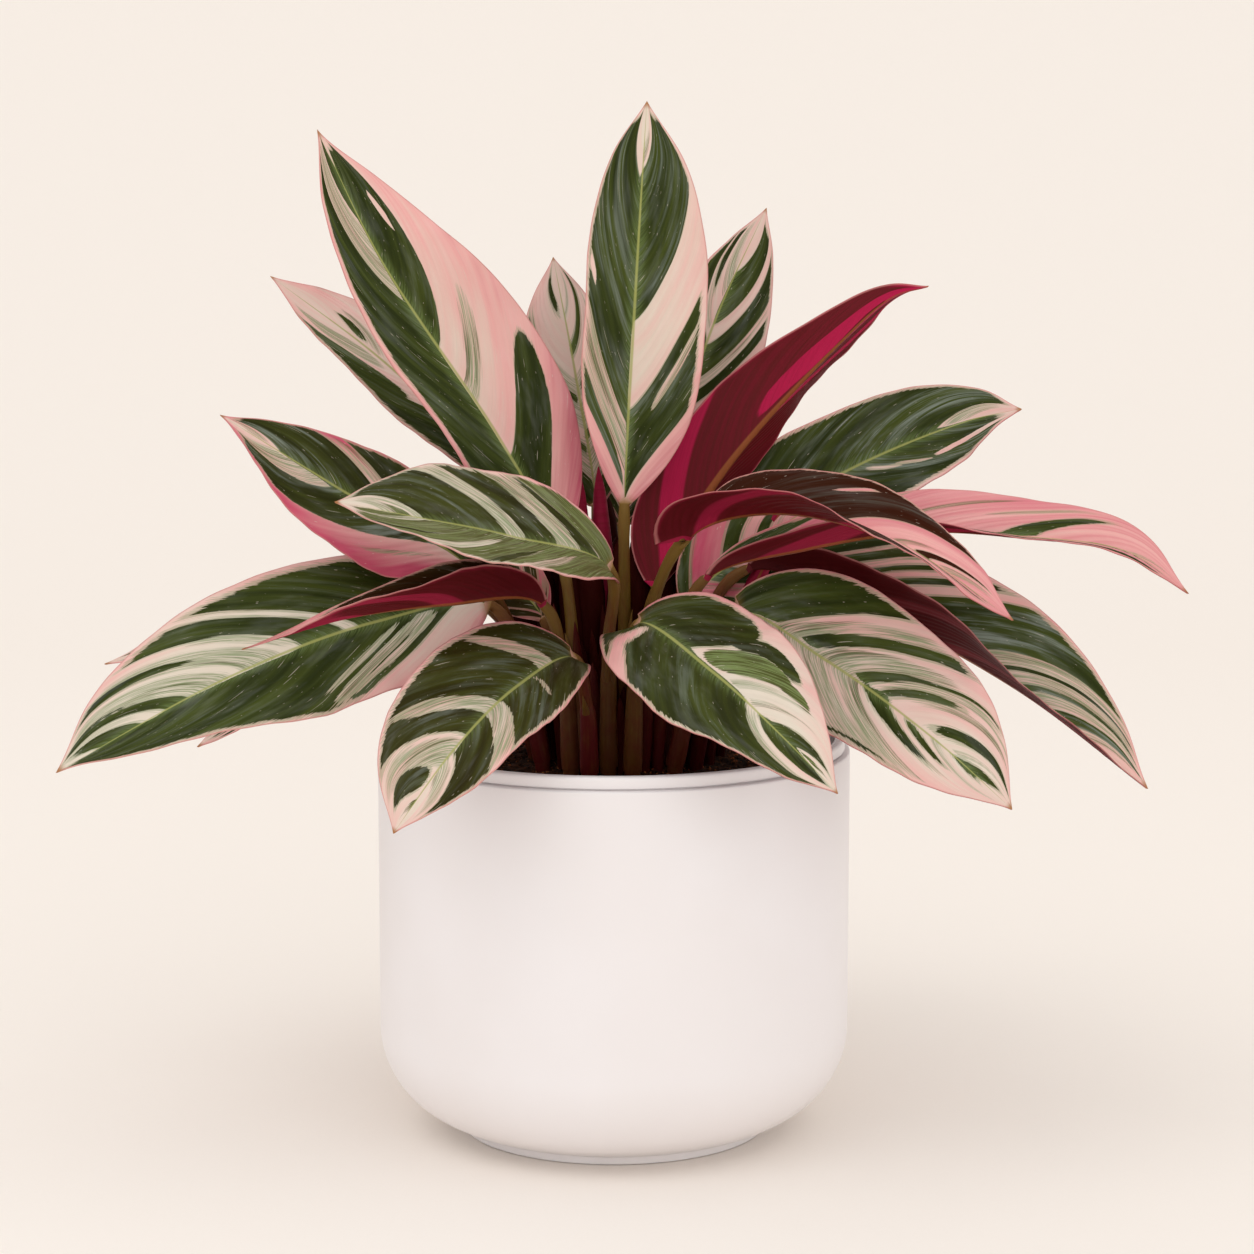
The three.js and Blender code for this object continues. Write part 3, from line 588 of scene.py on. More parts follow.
def blade_top_material(s):
    # Leaf blade, upper face: thin wax over a pleated skin gives the green a broad soft sheen.
    material, node = new_material("waxy_variegated_leaf")
    out = distance_out(node)
    run, rim, green_field, grey_field, half_field, blush, feather, dusk, bloom = read(
        node, "run rim green grey half blush feather dusk bloom"
    )
    broad = streaks(node, 2.4, 22.0)
    fine = streaks(node, 0.8, 11.0, 3.0, 0.6)
    hair = streaks(node, 0.55, 16.0)
    soft = streaks(node, 7.0, 34.0)
    cloud = streaks(node, 22.0, 22.0)
    sharp = node(RANGE, fine, 0.42, 0.58)
    reach = node(MATH, feather, 6.5, operation="MULTIPLY")
    wobble = node(BLEND, 0.45, broad, fine, data_type="FLOAT")
    wobble = node(BLEND, 0.35, wobble, hair, data_type="FLOAT")
    green = marking(node, green_field, wobble, reach, 0.14)
    grey = marking(node, grey_field, fine, 5.0, 0.5)
    half = marking(node, half_field, fine, 4.0, 0.6)
    # The ground is cream beside the midrib, and blushes in soft patches: pink towards the margin and rose by
    # the heel. The rose by the heel is partly the leaf's own pink and partly painted: the glow of light
    # through the thin blade, and shade low in the clump.
    patches = node(MATH, cloud, soft, operation="ADD")
    patchy = node(MATH, patches, 1.0, operation="SUBTRACT")
    patchy = node(MATH, patchy, 1.0, blush, operation="MULTIPLY_ADD")
    pinked = node(RANGE, patchy, 0.0, 1.0, interpolation_type="LINEAR")
    rosy = node(RANGE, patchy, 1.0, 2.0, interpolation_type="LINEAR")
    veined = node(RANGE, hair, 0.5, 0.75, 0.0, 0.1)
    ground = layered(node, s.cream, (pinked, s.pink), (rosy, s.rose), (veined, s.grey_green))
    # Grey green bands: brushed strokes of thin green over the ground, fewer by the band's edge, and dark
    # strokes where more cells kept their green.
    edge = node(RANGE, grey_field, -0.3, 2.6, 0.35, 1.0)
    brushed = node(RANGE, fine, 0.38, 0.6, 0.15, 0.95)
    brushed = node(MATH, brushed, edge, operation="MULTIPLY")
    stroke = node(MATH, hair, soft, operation="ADD")
    stroke = node(RANGE, stroke, 1.02, 1.24, 0.0, 0.75)
    grey_colour = layered(node, ground, (brushed, s.grey_green), (stroke, s.leaf_green))
    browned = node(MATH, dusk, 1.2, operation="MULTIPLY")
    half_colour = layered(
        node, s.light_green, (sharp, s.leaf_green), (veined, s.cream), (browned, s.half_dusk)
    )
    # A narrow fringe of thinner green lies along the edge of each band.
    wider = node(MATH, feather, 1.3, green_field, operation="MULTIPLY_ADD")
    fringe = marking(node, wider, fine, reach, 0.3)
    faint_fringe = node(MATH, fringe, 0.55, operation="MULTIPLY")
    # The deep green is uneven in broad soft strokes, and feathered with light green beside the midrib.
    uneven = node(RANGE, patches, 0.75, 1.3, 0.0, 0.85)
    beside = node(RANGE, out, 0.4, 5.0, 1.0, 0.0)
    strokes = node(MATH, sharp, 0.4, 0.15, operation="MULTIPLY_ADD")
    feathered = node(MATH, beside, strokes, operation="MULTIPLY")
    thin = node(RANGE, hair, 0.5, 0.75, 0.0, 0.12)
    deep = layered(
        node, s.deep_green, (uneven, s.leaf_green), (thin, s.leaf_green), (feathered, s.light_green)
    )
    # Painted sheen: silver strokes along the veins laid over the green as colour, a painted highlight of the
    # wax.
    silver = node(RANGE, streaks(node, 4.0, 20.0, 4.0, 0.65), 0.44, 0.66, 0.0, 0.75)
    clouded = node(RANGE, cloud, 0.42, 0.62)
    silver = node(MATH, silver, clouded, operation="MULTIPLY")
    silver = node(MATH, silver, bloom, operation="MULTIPLY")
    deep = layered(node, deep, (dusk, s.dusk), (silver, s.bloom))
    # Short pale scratches and specks.
    scratch = node(RANGE, streaks(node, 0.9, 7.0, 1.0, 0.4), 0.73, 0.77, 0.0, 0.5)
    speck = node(RANGE, streaks(node, 1.2, 1.0, 1.0, 0.4), 0.74, 0.77, 0.0, 0.45)
    on_rim = node(RANGE, rim, 0.12, 0.6, 0.7, 0.0)
    on_midrib = midrib_mask(node, out, run, 0.7, 0.4)
    soft_midrib = node(MATH, on_midrib, 0.8, operation="MULTIPLY")
    at_heel = node(RANGE, run, 0.0, 0.035, 1.0, 0.0)
    dried = node(MATH, cloud, 0.02, run, operation="MULTIPLY_ADD")
    dried = node(RANGE, dried, 0.985, 1.005)
    colours = layered(
        node, ground, (grey, grey_colour), (faint_fringe, s.grey_green), (half, half_colour), (green, deep),
        (scratch, s.cream), (speck, s.cream), (on_rim, s.rim_pink), (soft_midrib, s.midrib),
        (at_heel, s.stalk_pale), (dried, s.tip_tan),
    )
    relief = node(BLEND, 0.55, hair, broad, data_type="FLOAT")
    relief = node(MATH, on_midrib, -0.4, relief, operation="MULTIPLY_ADD")
    bump = node("ShaderNodeBump", named={"Strength": 0.3, "Distance": 0.22 * MM, "Height": relief})
    # The wax is thicker in patches, which shine more.
    wax = streaks(node, 15.0, 9.0, 3.0, 0.6)
    shine = node(RANGE, wax, 0.4, 0.65, 0.42, 0.3)
    duller = node(MATH, dusk, -0.75, 1.0, operation="MULTIPLY_ADD")
    gloss = node(RANGE, wax, 0.46, 0.7, 0.07, 0.5)
    gloss = node(MATH, gloss, duller, operation="MULTIPLY")
    finish_material(
        node, Base_Color=colours, Roughness=shine, Normal=bump, IOR=1.45, Specular_IOR_Level=gloss
    )
    return material


def blade_under_material(s):
    # Leaf blade, lower face: a duller maroon skin, with raised veins that catch thin lines of light.
    material, node = new_material("maroon_leaf_underside")
    out = distance_out(node)
    run, rim, green_field, young = read(node, "run rim green young")
    broad = streaks(node, 3.0, 26.0)
    fine = streaks(node, 0.9, 14.0, 3.0, 0.6)
    hair = streaks(node, 0.45, 18.0)
    green = marking(node, green_field, broad, 3.0, 1.6)
    thin = node(RANGE, fine, 0.45, 0.7, 0.0, 0.22)
    pale = layered(node, s.dull_pink, (young, s.magenta), (thin, s.maroon))
    skin = node(RANGE, broad, 0.35, 0.7, 0.0, 0.12)
    dark = layered(node, s.maroon, (young, s.young_maroon), (skin, pale))
    on_rim = node(RANGE, rim, 0.3, 0.9, 0.6, 0.0)
    on_rib = node(MATH, midrib_mask(node, out, run, 1.8, 1.3), 0.75, operation="MULTIPLY")
    dried = node(RANGE, run, 0.985, 1.005)
    colours = layered(
        node, pale, (green, dark), (on_rim, s.rim_pink), (on_rib, s.rib_tan), (dried, s.tip_tan)
    )
    relief = node(BLEND, 0.5, hair, broad, data_type="FLOAT")
    bump = node("ShaderNodeBump", named={"Strength": 0.35, "Distance": 0.25 * MM, "Height": relief})
    shine = node(RANGE, broad, 0.3, 0.7, 0.42, 0.58)
    finish_material(
        node, Base_Color=colours, Roughness=shine, Normal=bump, IOR=1.45, Specular_IOR_Level=0.1
    )
    return material


def stalk_material(s):
    # Leaf stalk and sheath: a fibrous ribbed skin, olive to red brown, and paler where it swells below the
    # blade. The shoots deep in the clump are darkened to near black by their shade value: painted shade. A
    # leaf's own stalk has no shade value, which then reads as none.
    material, node = new_material("ribbed_leaf_stalk")
    run, tone, shade = read(node, "run tone shade")
    ribs = streaks(node, 16.0, 0.7, 3.0, 0.6)
    blotch = streaks(node, 9.0, 4.5, 3.0, 0.6)
    centred = node(MATH, blotch, 0.5, operation="SUBTRACT")
    red = node(MATH, centred, 1.3, tone, operation="MULTIPLY_ADD", use_clamp=True)
    ribbed = node(RANGE, ribs, 0.5, 0.75, 0.0, 0.25)
    below = node(RANGE, run, -0.25, -0.02, 0.0, 0.5)
    at_foot = node(RANGE, run, -1.0, -0.72, 0.35, 0.0)
    colours = layered(
        node, s.stalk_olive, (red, s.stalk_red), (ribbed, s.stalk_pale), (below, s.stalk_pale),
        (at_foot, s.stalk_red), (shade, s.painted_clump_shade),
    )
    bump = node("ShaderNodeBump", named={"Strength": 0.45, "Distance": 0.3 * MM, "Height": ribs})
    shine = node(RANGE, blotch, 0.3, 0.7, 0.4, 0.58)
    # Where shade is painted, the gloss is taken away too, so that the painted shade stays dark.
    gloss = node(RANGE, shade, 0.0, 0.9, 0.16, 0.02)
    finish_material(node, Base_Color=colours, Roughness=shine, Normal=bump, Specular_IOR_Level=gloss)
    return material


def ceramic_material(s):
    # Glazed earthenware: a sprayed satin glaze, even and soft, with a faint orange-peel texture 1 to 2 mm
    # across.
    material, node = new_material("satin_white_glaze")
    place = node("ShaderNodeTexCoord", out="Object")
    peel = node("ShaderNodeTexNoise", place, 650.0, 2.0, 0.5)
    drift = node("ShaderNodeTexNoise", place, 14.0, 2.0, 0.5)
    warmer = node(RANGE, drift, 0.35, 0.65, 0.0, 0.06)
    bump = node("ShaderNodeBump", named={"Strength": 0.12, "Distance": 0.1 * MM, "Height": peel})
    shine = node(RANGE, drift, 0.3, 0.7, s.roughness - 0.04, s.roughness + 0.04)
    colours = layered(node, s.glaze, (warmer, s.glaze_shade))
    finish_material(node, Base_Color=colours, Roughness=shine, Normal=bump, IOR=1.5)
    return material


def mix_material(s, name, least):
    # Peat mix: moist dark crumbs that scatter all light, with drier brown bark and coir among them. Each
    # crumb says how dry it is, and least is how dry the bed is, which says nothing.
    material, node = new_material(name)
    place = node("ShaderNodeTexCoord", out="Object")
    lump = node("ShaderNodeTexNoise", place, 330.0, 4.0, 0.7)
    grit = node("ShaderNodeTexNoise", place, 1400.0, 2.0, 0.6)
    dry = node(MATH, read(node, "dry")[0], least, operation="MAXIMUM")
    browned = node(RANGE, lump, 0.4, 0.65)
    browned = node(MATH, browned, dry, operation="MULTIPLY")
    gritty = node(RANGE, grit, 0.6, 0.8, 0.0, 0.4)
    bump = node("ShaderNodeBump", named={"Strength": 0.6, "Distance": 0.5 * MM, "Height": grit})
    colours = layered(node, s.dark, (browned, s.crumb), (gritty, s.crumb))
    finish_material(node, Base_Color=colours, Normal=bump, Roughness=0.92, Specular_IOR_Level=0.1)
    return material


def paper_material(s):
    # Matt studio paper: no gloss, so that the pot's shadow stays soft.
    material, node = new_material("matt_studio_paper")
    tooth = node("ShaderNodeTexNoise", node("ShaderNodeTexCoord", out="Object"), 900.0, 2.0, 0.5)
    toothed = node(RANGE, tooth, 0.3, 0.7, 0.0, 0.03)
    finish_material(node, Base_Color=layered(node, s.floor, (toothed, s.floor_shade)), Roughness=0.95)
    return material


# ---- Leaf form ----
def unit(v):
    return v / np.linalg.norm(v, axis=-1, keepdims=True)


def smooth(share):
    return share * share * (3 - 2 * share)


class CentreLine:
    """A smooth line through a leaf's points, from the mix to the tip, read by the share of its length."""

    def __init__(self, leaf):
        stalk = [[*leaf["root"], STALK_START], *leaf["bend"]]
        self.points = np.array([*stalk, *leaf["spine"]], float)
        first = 2 * self.points[0] - self.points[1]
        last = 2 * self.points[-1] - self.points[-2]
        self.knots = np.vstack([first, self.points, last])
        self.steps = np.linspace(0, 1, PIECE_DIVISIONS * (len(self.points) - 1) + 1)
        walked = np.linalg.norm(np.diff(self.at_step(self.steps), axis=0), axis=1)
        self.walked = np.concatenate([[0], np.cumsum(walked)])
        self.heel = self.walked[PIECE_DIVISIONS * len(stalk)] / self.walked[-1]
        self.stalk_length = self.walked[-1] * self.heel
        self.blade_length = self.walked[-1] - self.stalk_length

    def at_step(self, step):
        place = (len(self.points) - 1) * np.asarray(step, float)
        piece = np.minimum(np.floor(place).astype(int), len(self.points) - 2)
        w = (place - piece)[:, None]
        p0, p1, p2, p3 = (self.knots[piece + k] for k in range(4))
        runs = ((p0, p1), (p1, p2), (p2, p3))
        d0, d1, d2 = (np.sqrt(np.linalg.norm(b - a, axis=1))[:, None] for a, b in runs)
        t1 = ((p1 - p0) / d0 - (p2 - p0) / (d0 + d1) + (p2 - p1) / d1) * d1
        t2 = ((p2 - p1) / d1 - (p3 - p1) / (d1 + d2) + (p3 - p2) / d2) * d1
        return p1 + w * (t1 + w * (-3 * p1 + 3 * p2 - 2 * t1 - t2 + w * (2 * p1 - 2 * p2 + t1 + t2)))

    def step_of(self, share):
        return np.interp(np.asarray(share) * self.walked[-1], self.walked, self.steps)

    def place(self, share):
        return self.at_step(self.step_of(share))

    def heading(self, share):
        step = self.step_of(share)
        return unit(self.at_step(np.clip(step + 1e-4, 0, 1)) - self.at_step(np.clip(step - 1e-4, 0, 1)))


def outline(s, side, leaf):
    """Half width of the blade as a share of the widest, at a share of its length, drawn to a fine tip."""
    widest = leaf["widest"]
    low = 1 - np.clip(1 - s / widest, 0, 1) ** leaf["full"][side]
    high = 1 - np.clip((s - widest) / (1 - widest), 0, 1) ** leaf["bulge"][side]
    high = np.clip(high, 0, 1) ** leaf["taper"][side]
    drawn = 1 - DRAWN * np.clip((s - DRAWN_FROM) / (1 - DRAWN_FROM), 0, 1) ** 2
    return np.where(s < widest, low, high) * drawn


def squared(heading, face):
    """Which way the upper face looks and which way is right, square to the centre line."""
    out = unit(face - (face * heading).sum(-1, keepdims=True) * heading)
    return out, np.cross(heading, out)


def blade_frame(line, leaf, shares):
    heel_face, tip_face = leaf["face"]
    face = heel_face + (tip_face - heel_face) * smooth(shares)[:, None]
    place = line.heel + shares * (1 - line.heel)
    heading = line.heading(place)
    return line.place(place), heading, *squared(heading, face)


def stalk_frame(line, leaf, shares):
    """Frames up the stalk, carried down from the heel without a twist."""
    headings = line.heading(line.heel * np.linspace(0, 1, FRAME_STEPS + 1))
    carried = leaf["face"][0]
    outs = np.zeros_like(headings)
    for i in range(FRAME_STEPS, -1, -1):
        carried = squared(headings[i], carried)[0]
        outs[i] = carried
    steps = np.linspace(0, 1, FRAME_STEPS + 1)
    face = np.stack([np.interp(shares, steps, outs[:, k]) for k in range(3)], 1)
    heading = line.heading(line.heel * shares)
    return line.place(line.heel * shares), heading, *squared(heading, face)


def blade_rows():
    """How far up the blade each row's points lie. Rows follow the side veins, but end square."""
    rows = np.concatenate([
        np.linspace(FIRST_SECTION, HEEL_END, HEEL_ROWS, endpoint=False),
        np.linspace(HEEL_END, TIP_START, BLADE_ROWS, endpoint=False),
        np.linspace(TIP_START, LAST_ROW, TIP_ROWS),
    ])
    veins = VEIN_SLANT + VEIN_SLANT_GAIN * rows
    limits = [veins, ROW_START * (rows - rows[0]), ROW_STOP * (rows[-1] - rows)]
    slant = -np.log(sum(np.exp(-ROW_BLEND * limit) for limit in limits)) / ROW_BLEND
    return rows[:, None] + np.maximum(slant, 0)[:, None] * np.abs(CROSS) ** VEIN_BEND


def side_vein(s, v):
    """Where along the midrib the side vein through a point starts."""
    bent = v**VEIN_BEND
    return (s - VEIN_SLANT * bent) / (1 + VEIN_SLANT_GAIN * bent)


def parse(marks):
    """The markings of one half: kind, from, to, inner and outer end, and lean."""
    found = []
    for text in filter(None, (m.strip() for m in marks.split(","))):
        kind, *numbers = text.split()
        numbers = [float(n) for n in numbers]
        found.append((kind, *(numbers + [-1.0, 2.0, 0.0][len(numbers) - 2 :])))
    return found


def stripes(number, side):
    """Markings for a leaf that gives none: green bands of uneven width, with streaks between them."""
    pick = random.Random(100 + 2 * number + side)
    found = []
    at = -0.35
    while at < 0.84:
        wide = pick.choice([0.05, 0.07, 0.1, 0.16])
        outer = pick.choice([2.0, 2.0, 0.8])
        lean = pick.uniform(-0.04, 0.06)
        found.append(("g", at, min(at + wide, 0.88), -1.0, outer, lean))
        at += wide
        gap = pick.choice([0.025, 0.04, 0.07])
        if pick.random() < 0.6:
            found.append(("y", at, at + gap, -1.0, 2.0, 0.0))
        at += gap
    return found


def paint(leaf, number, shares, line):
    """How far each point lies inside the green, the grey and the half-green marks, in millimetres."""
    fields = {kind: np.full(shares.shape, -FIELD_LIMIT) for kind in "gyh"}
    for side, columns in enumerate((CROSS < 0, CROSS >= 0)):
        s = shares[:, columns]
        v = np.abs(CROSS[columns])[None, :]
        vein = side_vein(s, v)
        marks = parse(leaf["marks"][side]) if leaf["marks"] else stripes(number, side)
        for kind, start, stop, inner, outer, lean in marks:
            half = (stop - start) / 2
            a = (vein - (start + stop) / 2 - lean * v) / half
            b = (v - (inner + outer) / 2) / ((outer - inner) / 2)
            inside = (1 - np.sqrt(a * a + b**4)) * half * line.blade_length
            for name, field in fields.items():
                part = field[:, columns]
                field[:, columns] = np.maximum(part, inside) if name == kind else np.minimum(part, -inside)
        uneven = TIP_CURVE * (2 * v - 1) ** 2 + TIP_WAVE * np.sin(11 * v + 2 * number + side)
        end = (leaf["ends"][side] - uneven - s) * line.blade_length * TIP_SLOPE
        rim = (1 - leaf["rims"][side] - v) * leaf["halves"][side]
        for field in fields.values():
            field[:, columns] = np.minimum(np.minimum(field[:, columns], end), rim)
    return {kind: np.clip(field, -FIELD_LIMIT, FIELD_LIMIT) for kind, field in fields.items()}


def blade_column(leaf, number, line, shares, v, settings):
    """One line of points up the blade, at one place across it, on the upper and on the lower face."""
    centre, heading, out, right = blade_frame(line, leaf, shares)
    side = 0 if v < 0 else 1
    far = abs(v)
    width = leaf["halves"][side] * outline(shares, side, leaf)
    heel_lift, tip_lift = leaf["lift"][side]
    lift = np.radians(heel_lift + (tip_lift - heel_lift) * smooth(shares))[:, None]
    outward = right * np.sign(v) * np.cos(lift) + out * np.sin(lift)
    normal = out * np.cos(lift) - right * np.sign(v) * np.sin(lift)
    still = np.clip(8 * shares * (1 - shares), 0, 1)
    wave = WAVE_HEIGHT * np.sin(2 * np.pi * (WAVES * shares + WAVE_SHIFT * number) + 2 * side)
    ripple = RIPPLE_HEIGHT * np.sin(2 * np.pi * (RIPPLES * shares + RIPPLE_SHIFT * number) + 3 * side)
    ripple *= far**4
    vein = side_vein(shares, far) * line.blade_length
    pleat = settings.pleat_height / MM * np.sin(2 * np.pi * vein / (settings.pleat_spacing / MM))
    pleat *= min(1, 5 * far) * (1 - far) ** 0.5
    strays = np.array([noise.noise(Vector((9 * s, 3.1 * number, side))) for s in shares])
    nudge = MARGIN_NUDGE * strays * still
    spot = centre + outward * (far * (width + nudge))[:, None]
    spot += normal * (v * v * (wave * still - ARCH * width) + (ripple + pleat) * still)[:, None]
    back = np.maximum(0, 1 - shares / LOBE_SPAN) ** 2
    spot -= heading * (leaf["lobe"][side] * v * v * back)[:, None]
    thick = settings.thickness / MM / 2 * (1 - MARGIN_THINNING * v * v)
    groove = GROOVE_DEPTH * (1 - shares) * math.exp(-((far / GROOVE_SHARE) ** 2))
    rib = settings.midrib_depth / MM * (1 - shares) ** 1.5 + RIB_LEAST
    swell = rib * np.exp(-((far * width / (RIB_WIDTH + RIB_WIDENING * (1 - shares))) ** 2))
    return spot + normal * (thick - groove)[:, None], spot - normal * (thick + swell)[:, None]


def stalk_radius(share):
    return STALK_FOOT_RADIUS + (STALK_TOP_RADIUS - STALK_FOOT_RADIUS) * share


def round_ring(centre, out, right, radius, points):
    turn = math.pi - (2 * np.arange(points) + 1) * math.pi / points
    around = right[:, None, :] * np.cos(turn)[None, :, None] + out[:, None, :] * np.sin(turn)[None, :, None]
    return centre[:, None, :] + around * radius[:, None, None]


def both_faces(rows):
    """Values for a row's upper face from the left margin to the right, then its lower face back."""
    return np.concatenate([rows, rows[:, ::-1]], axis=1)


def leaf_mesh(name, leaf, number, settings, materials):
    """One leaf: its stalk, swollen below the blade, and its folded, pleated blade, as one closed mesh."""
    line = CentreLine(leaf)
    points = 2 * len(CROSS)
    shares = blade_rows()
    columns = [blade_column(leaf, number, line, shares[:, j], v, settings) for j, v in enumerate(CROSS)]
    upper, lower = (np.stack([column[face] for column in columns], 1) for face in (0, 1))
    rings = np.concatenate([upper, lower[:, ::-1]], axis=1)
    up_stalk = np.linspace(0, 1, STALK_ROWS)
    centre, _, out, right = stalk_frame(line, leaf, up_stalk)
    swollen = np.exp(-(((1 - up_stalk) * line.stalk_length - SWELLING_DROP) / SWELLING_LENGTH) ** 2)
    radius = stalk_radius(up_stalk) + SWELLING * swollen
    stalk_rings = round_ring(centre, out, right, radius, points)
    foot = np.array([[*leaf["root"], MIX_TOP - ROOT_DEPTH]], float)
    foot_ring = stalk_rings[:1] + [0, 0, foot[0, 2] - centre[0, 2]]
    joining = stalk_rings[-1] + (rings[0] - stalk_rings[-1]) * JOINS[:, None, None]
    every = np.concatenate([foot_ring, stalk_rings, joining, rings])
    vertices = np.concatenate([every.reshape(-1, 3), foot, line.place([1.0])])
    faces, kinds = leaf_faces(len(every), points)
    mesh = new_mesh(name, vertices, faces, *materials)
    mesh.polygons.foreach_set("material_index", kinds)
    write_fields(mesh, leaf, number, line, shares, up_stalk, points)
    return mesh


def leaf_faces(sections, points):
    """Quads round and along the leaf, and which finish each takes: 0 upper face, 1 lower face, 2 stalk."""
    faces, kinds = [], []
    for k in range(sections - 1):
        for i in range(points):
            j = (i + 1) % points
            here, there = k * points, (k + 1) * points
            faces.append((here + i, here + j, there + j, there + i))
            kinds.append(2 if k <= STALK_ROWS else 0 if i < len(CROSS) - 1 or i == points - 1 else 1)
    foot, tip = sections * points, sections * points + 1
    last = (sections - 1) * points
    for i in range(points):
        j = (i + 1) % points
        faces.append((foot, j, i))
        faces.append((tip, last + i, last + j))
        kinds += [2, 0 if i < len(CROSS) - 1 else 1]
    return faces, kinds


def write_fields(mesh, leaf, number, line, shares, up_stalk, points):
    """Writes what the materials read: the leaf's map, and for each point its place and how it is marked."""
    fields = paint(leaf, number, shares, line)
    far = np.abs(CROSS)[None, :]
    left = CROSS[None, :] < 0
    widths = [half * outline(shares, side, leaf) for side, half in enumerate(leaf["halves"])]
    inner, outer = leaf["blush"]
    # Deeper by the heel: partly the leaf's own pink, partly painted glow of light and painted shade.
    at_heel = np.clip(1 - shares / HEEL_BLUSH_AND_GLOW_END, 0, 1) ** 1.3 * (0.4 + 0.8 * far)
    runs = np.concatenate([[-1.05], up_stalk - 1, FIRST_SECTION * JOINS])
    # For each value: on the blade, on the stalk, and at the foot and the tip.
    values = {
        "green": (fields["g"], -FIELD_LIMIT, [-FIELD_LIMIT, -FIELD_LIMIT]),
        "grey": (fields["y"], -FIELD_LIMIT, [-FIELD_LIMIT, -FIELD_LIMIT]),
        "half": (fields["h"], -FIELD_LIMIT, [-FIELD_LIMIT, -FIELD_LIMIT]),
        "blush": (inner + (outer - inner) * far**1.3 + at_heel, 1.0, [1.0, 1.0]),
        "rim": ((1 - far) * np.where(left, widths[0], widths[1]), 9.0, [9.0, 0.0]),
        "run": (shares, runs[:, None], [-1.05, 1.0]),
    }
    for name, (blade, stalk, ends) in values.items():
        stalk = np.broadcast_to(stalk, (len(runs), points))
        flat = np.concatenate([stalk.ravel(), both_faces(blade).ravel(), ends])
        write_values(mesh, name, flat)
    for name in ("feather", "tone", "young", "dusk", "bloom"):
        write_values(mesh, name, np.full(len(mesh.vertices), leaf[name]))
    vein = both_faces(side_vein(shares, far) * line.blade_length)
    sides = np.where(left, -leaf["halves"][0], leaf["halves"][1])
    out = np.repeat(both_faces(sides * far), len(shares), 0)
    stalk_x = [[-line.stalk_length - ROOT_DEPTH], (up_stalk - 1) * line.stalk_length, 0 * JOINS]
    stalk_x = np.repeat(np.concatenate(stalk_x)[:, None], points, 1)
    stalk_y = np.broadcast_to(np.linspace(0, STALK_GIRTH, points), stalk_x.shape)
    x = np.concatenate([stalk_x.ravel(), vein.ravel(), [stalk_x[0, 0], line.blade_length]])
    y = np.concatenate([stalk_y.ravel(), out.ravel(), [0, 0]])
    corners = np.zeros(len(mesh.loops), np.int32)
    mesh.loops.foreach_get("vertex_index", corners)
    uv = np.stack([x[corners] / MAP_UNIT + SEED_STEP * number, y[corners] / MAP_UNIT], 1)
    mesh.uv_layers.new(name="LeafMap").data.foreach_set("uv", uv.astype(np.float32).ravel())


# ---- Pieces ----
def new_mesh(name, vertices, faces, *materials, edges=()):
    """A smooth mesh from points in millimetres."""
    mesh = bpy.data.meshes.new(name)
    mesh.from_pydata(np.asarray(vertices) * MM, edges, faces)
    for material in materials:
        mesh.materials.append(material)
    mesh.polygons.foreach_set("use_smooth", [True] * len(faces))
    mesh.update()
    return mesh


def write_values(mesh, name, values):
    mesh.attributes.new(name, "FLOAT", "POINT").data.foreach_set("value", np.asarray(values, np.float32))


def new_object(name, mesh):
    piece = bpy.data.objects.new(name, mesh)
    bpy.context.scene.collection.objects.link(piece)
    return piece


def settle(piece, slot, *nodes):
    """The piece rides on the plant's one body and stands for its CAD nodes, which are hidden. The slot is
    not used.
    """
    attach(piece, "root")
    if nodes:
        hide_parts(*nodes)


def new_tree(name, sizes):
    """A Geometry Nodes tree that takes and gives a mesh. sizes: each input's name, kind and default."""
    tree = bpy.data.node_groups.new(name, "GeometryNodeTree")
    tree.interface.new_socket("Geometry", in_out="INPUT", socket_type="NodeSocketGeometry")
    tree.interface.new_socket("Geometry", in_out="OUTPUT", socket_type="NodeSocketGeometry")
    for label, kind, default in sizes:
        socket = tree.interface.new_socket(label, in_out="INPUT", socket_type=kind)
        socket.default_value = default
    start = tree.nodes.new("NodeGroupInput")
    return tree, partial(add_node, tree), start.outputs


def grown(name, mesh, tree, **sizes):
    """Runs a tree on a mesh and keeps the result as a plain mesh."""
    holder = new_object(f"{name}_source", mesh)
    modifier = holder.modifiers.new(name, "NODES")
    modifier.node_group = tree
    for socket in tree.interface.items_tree:
        if socket.in_out == "INPUT" and socket.name in sizes:
            modifier[socket.identifier] = sizes[socket.name]
    result = bpy.data.meshes.new_from_object(holder.evaluated_get(bpy.context.evaluated_depsgraph_get()))
    holder.modifiers.remove(modifier)
    bpy.data.objects.remove(holder)
    for slot in reversed([k for k, material in enumerate(result.materials) if material is None]):
        result.materials.pop(index=slot)
    result.name = name
    return new_object(name, result)


def lathe(name, profile, sides, material):
    """A closed, smooth, turned shape from a profile that starts and ends on the axis."""
    turns = 2 * np.pi * np.arange(sides) / sides
    inner = profile[1:-1]
    vertices = [(r * math.cos(t), r * math.sin(t), z) for r, z in inner for t in turns]
    vertices += [(0, 0, profile[0][1]), (0, 0, profile[-1][1])]
    faces = []
    for k in range(len(inner) - 1):
        for i in range(sides):
            j = (i + 1) % sides
            faces.append((k * sides + i, k * sides + j, (k + 1) * sides + j, (k + 1) * sides + i))
    start, end, last = len(vertices) - 2, len(vertices) - 1, (len(inner) - 1) * sides
    for i in range(sides):
        j = (i + 1) % sides
        faces.append((start, j, i))
        faces.append((end, last + i, last + j))
    return new_mesh(name, vertices, faces, material)


def bowl_arc(radius, floor, start, stop, steps):
    turns = np.linspace(start, stop, steps + 1)
    out = BELLY_CENTRE + (radius - BELLY_CENTRE) * np.cos(turns)
    return list(zip(out, BELLY_HEIGHT - (BELLY_HEIGHT - floor) * np.sin(turns)))


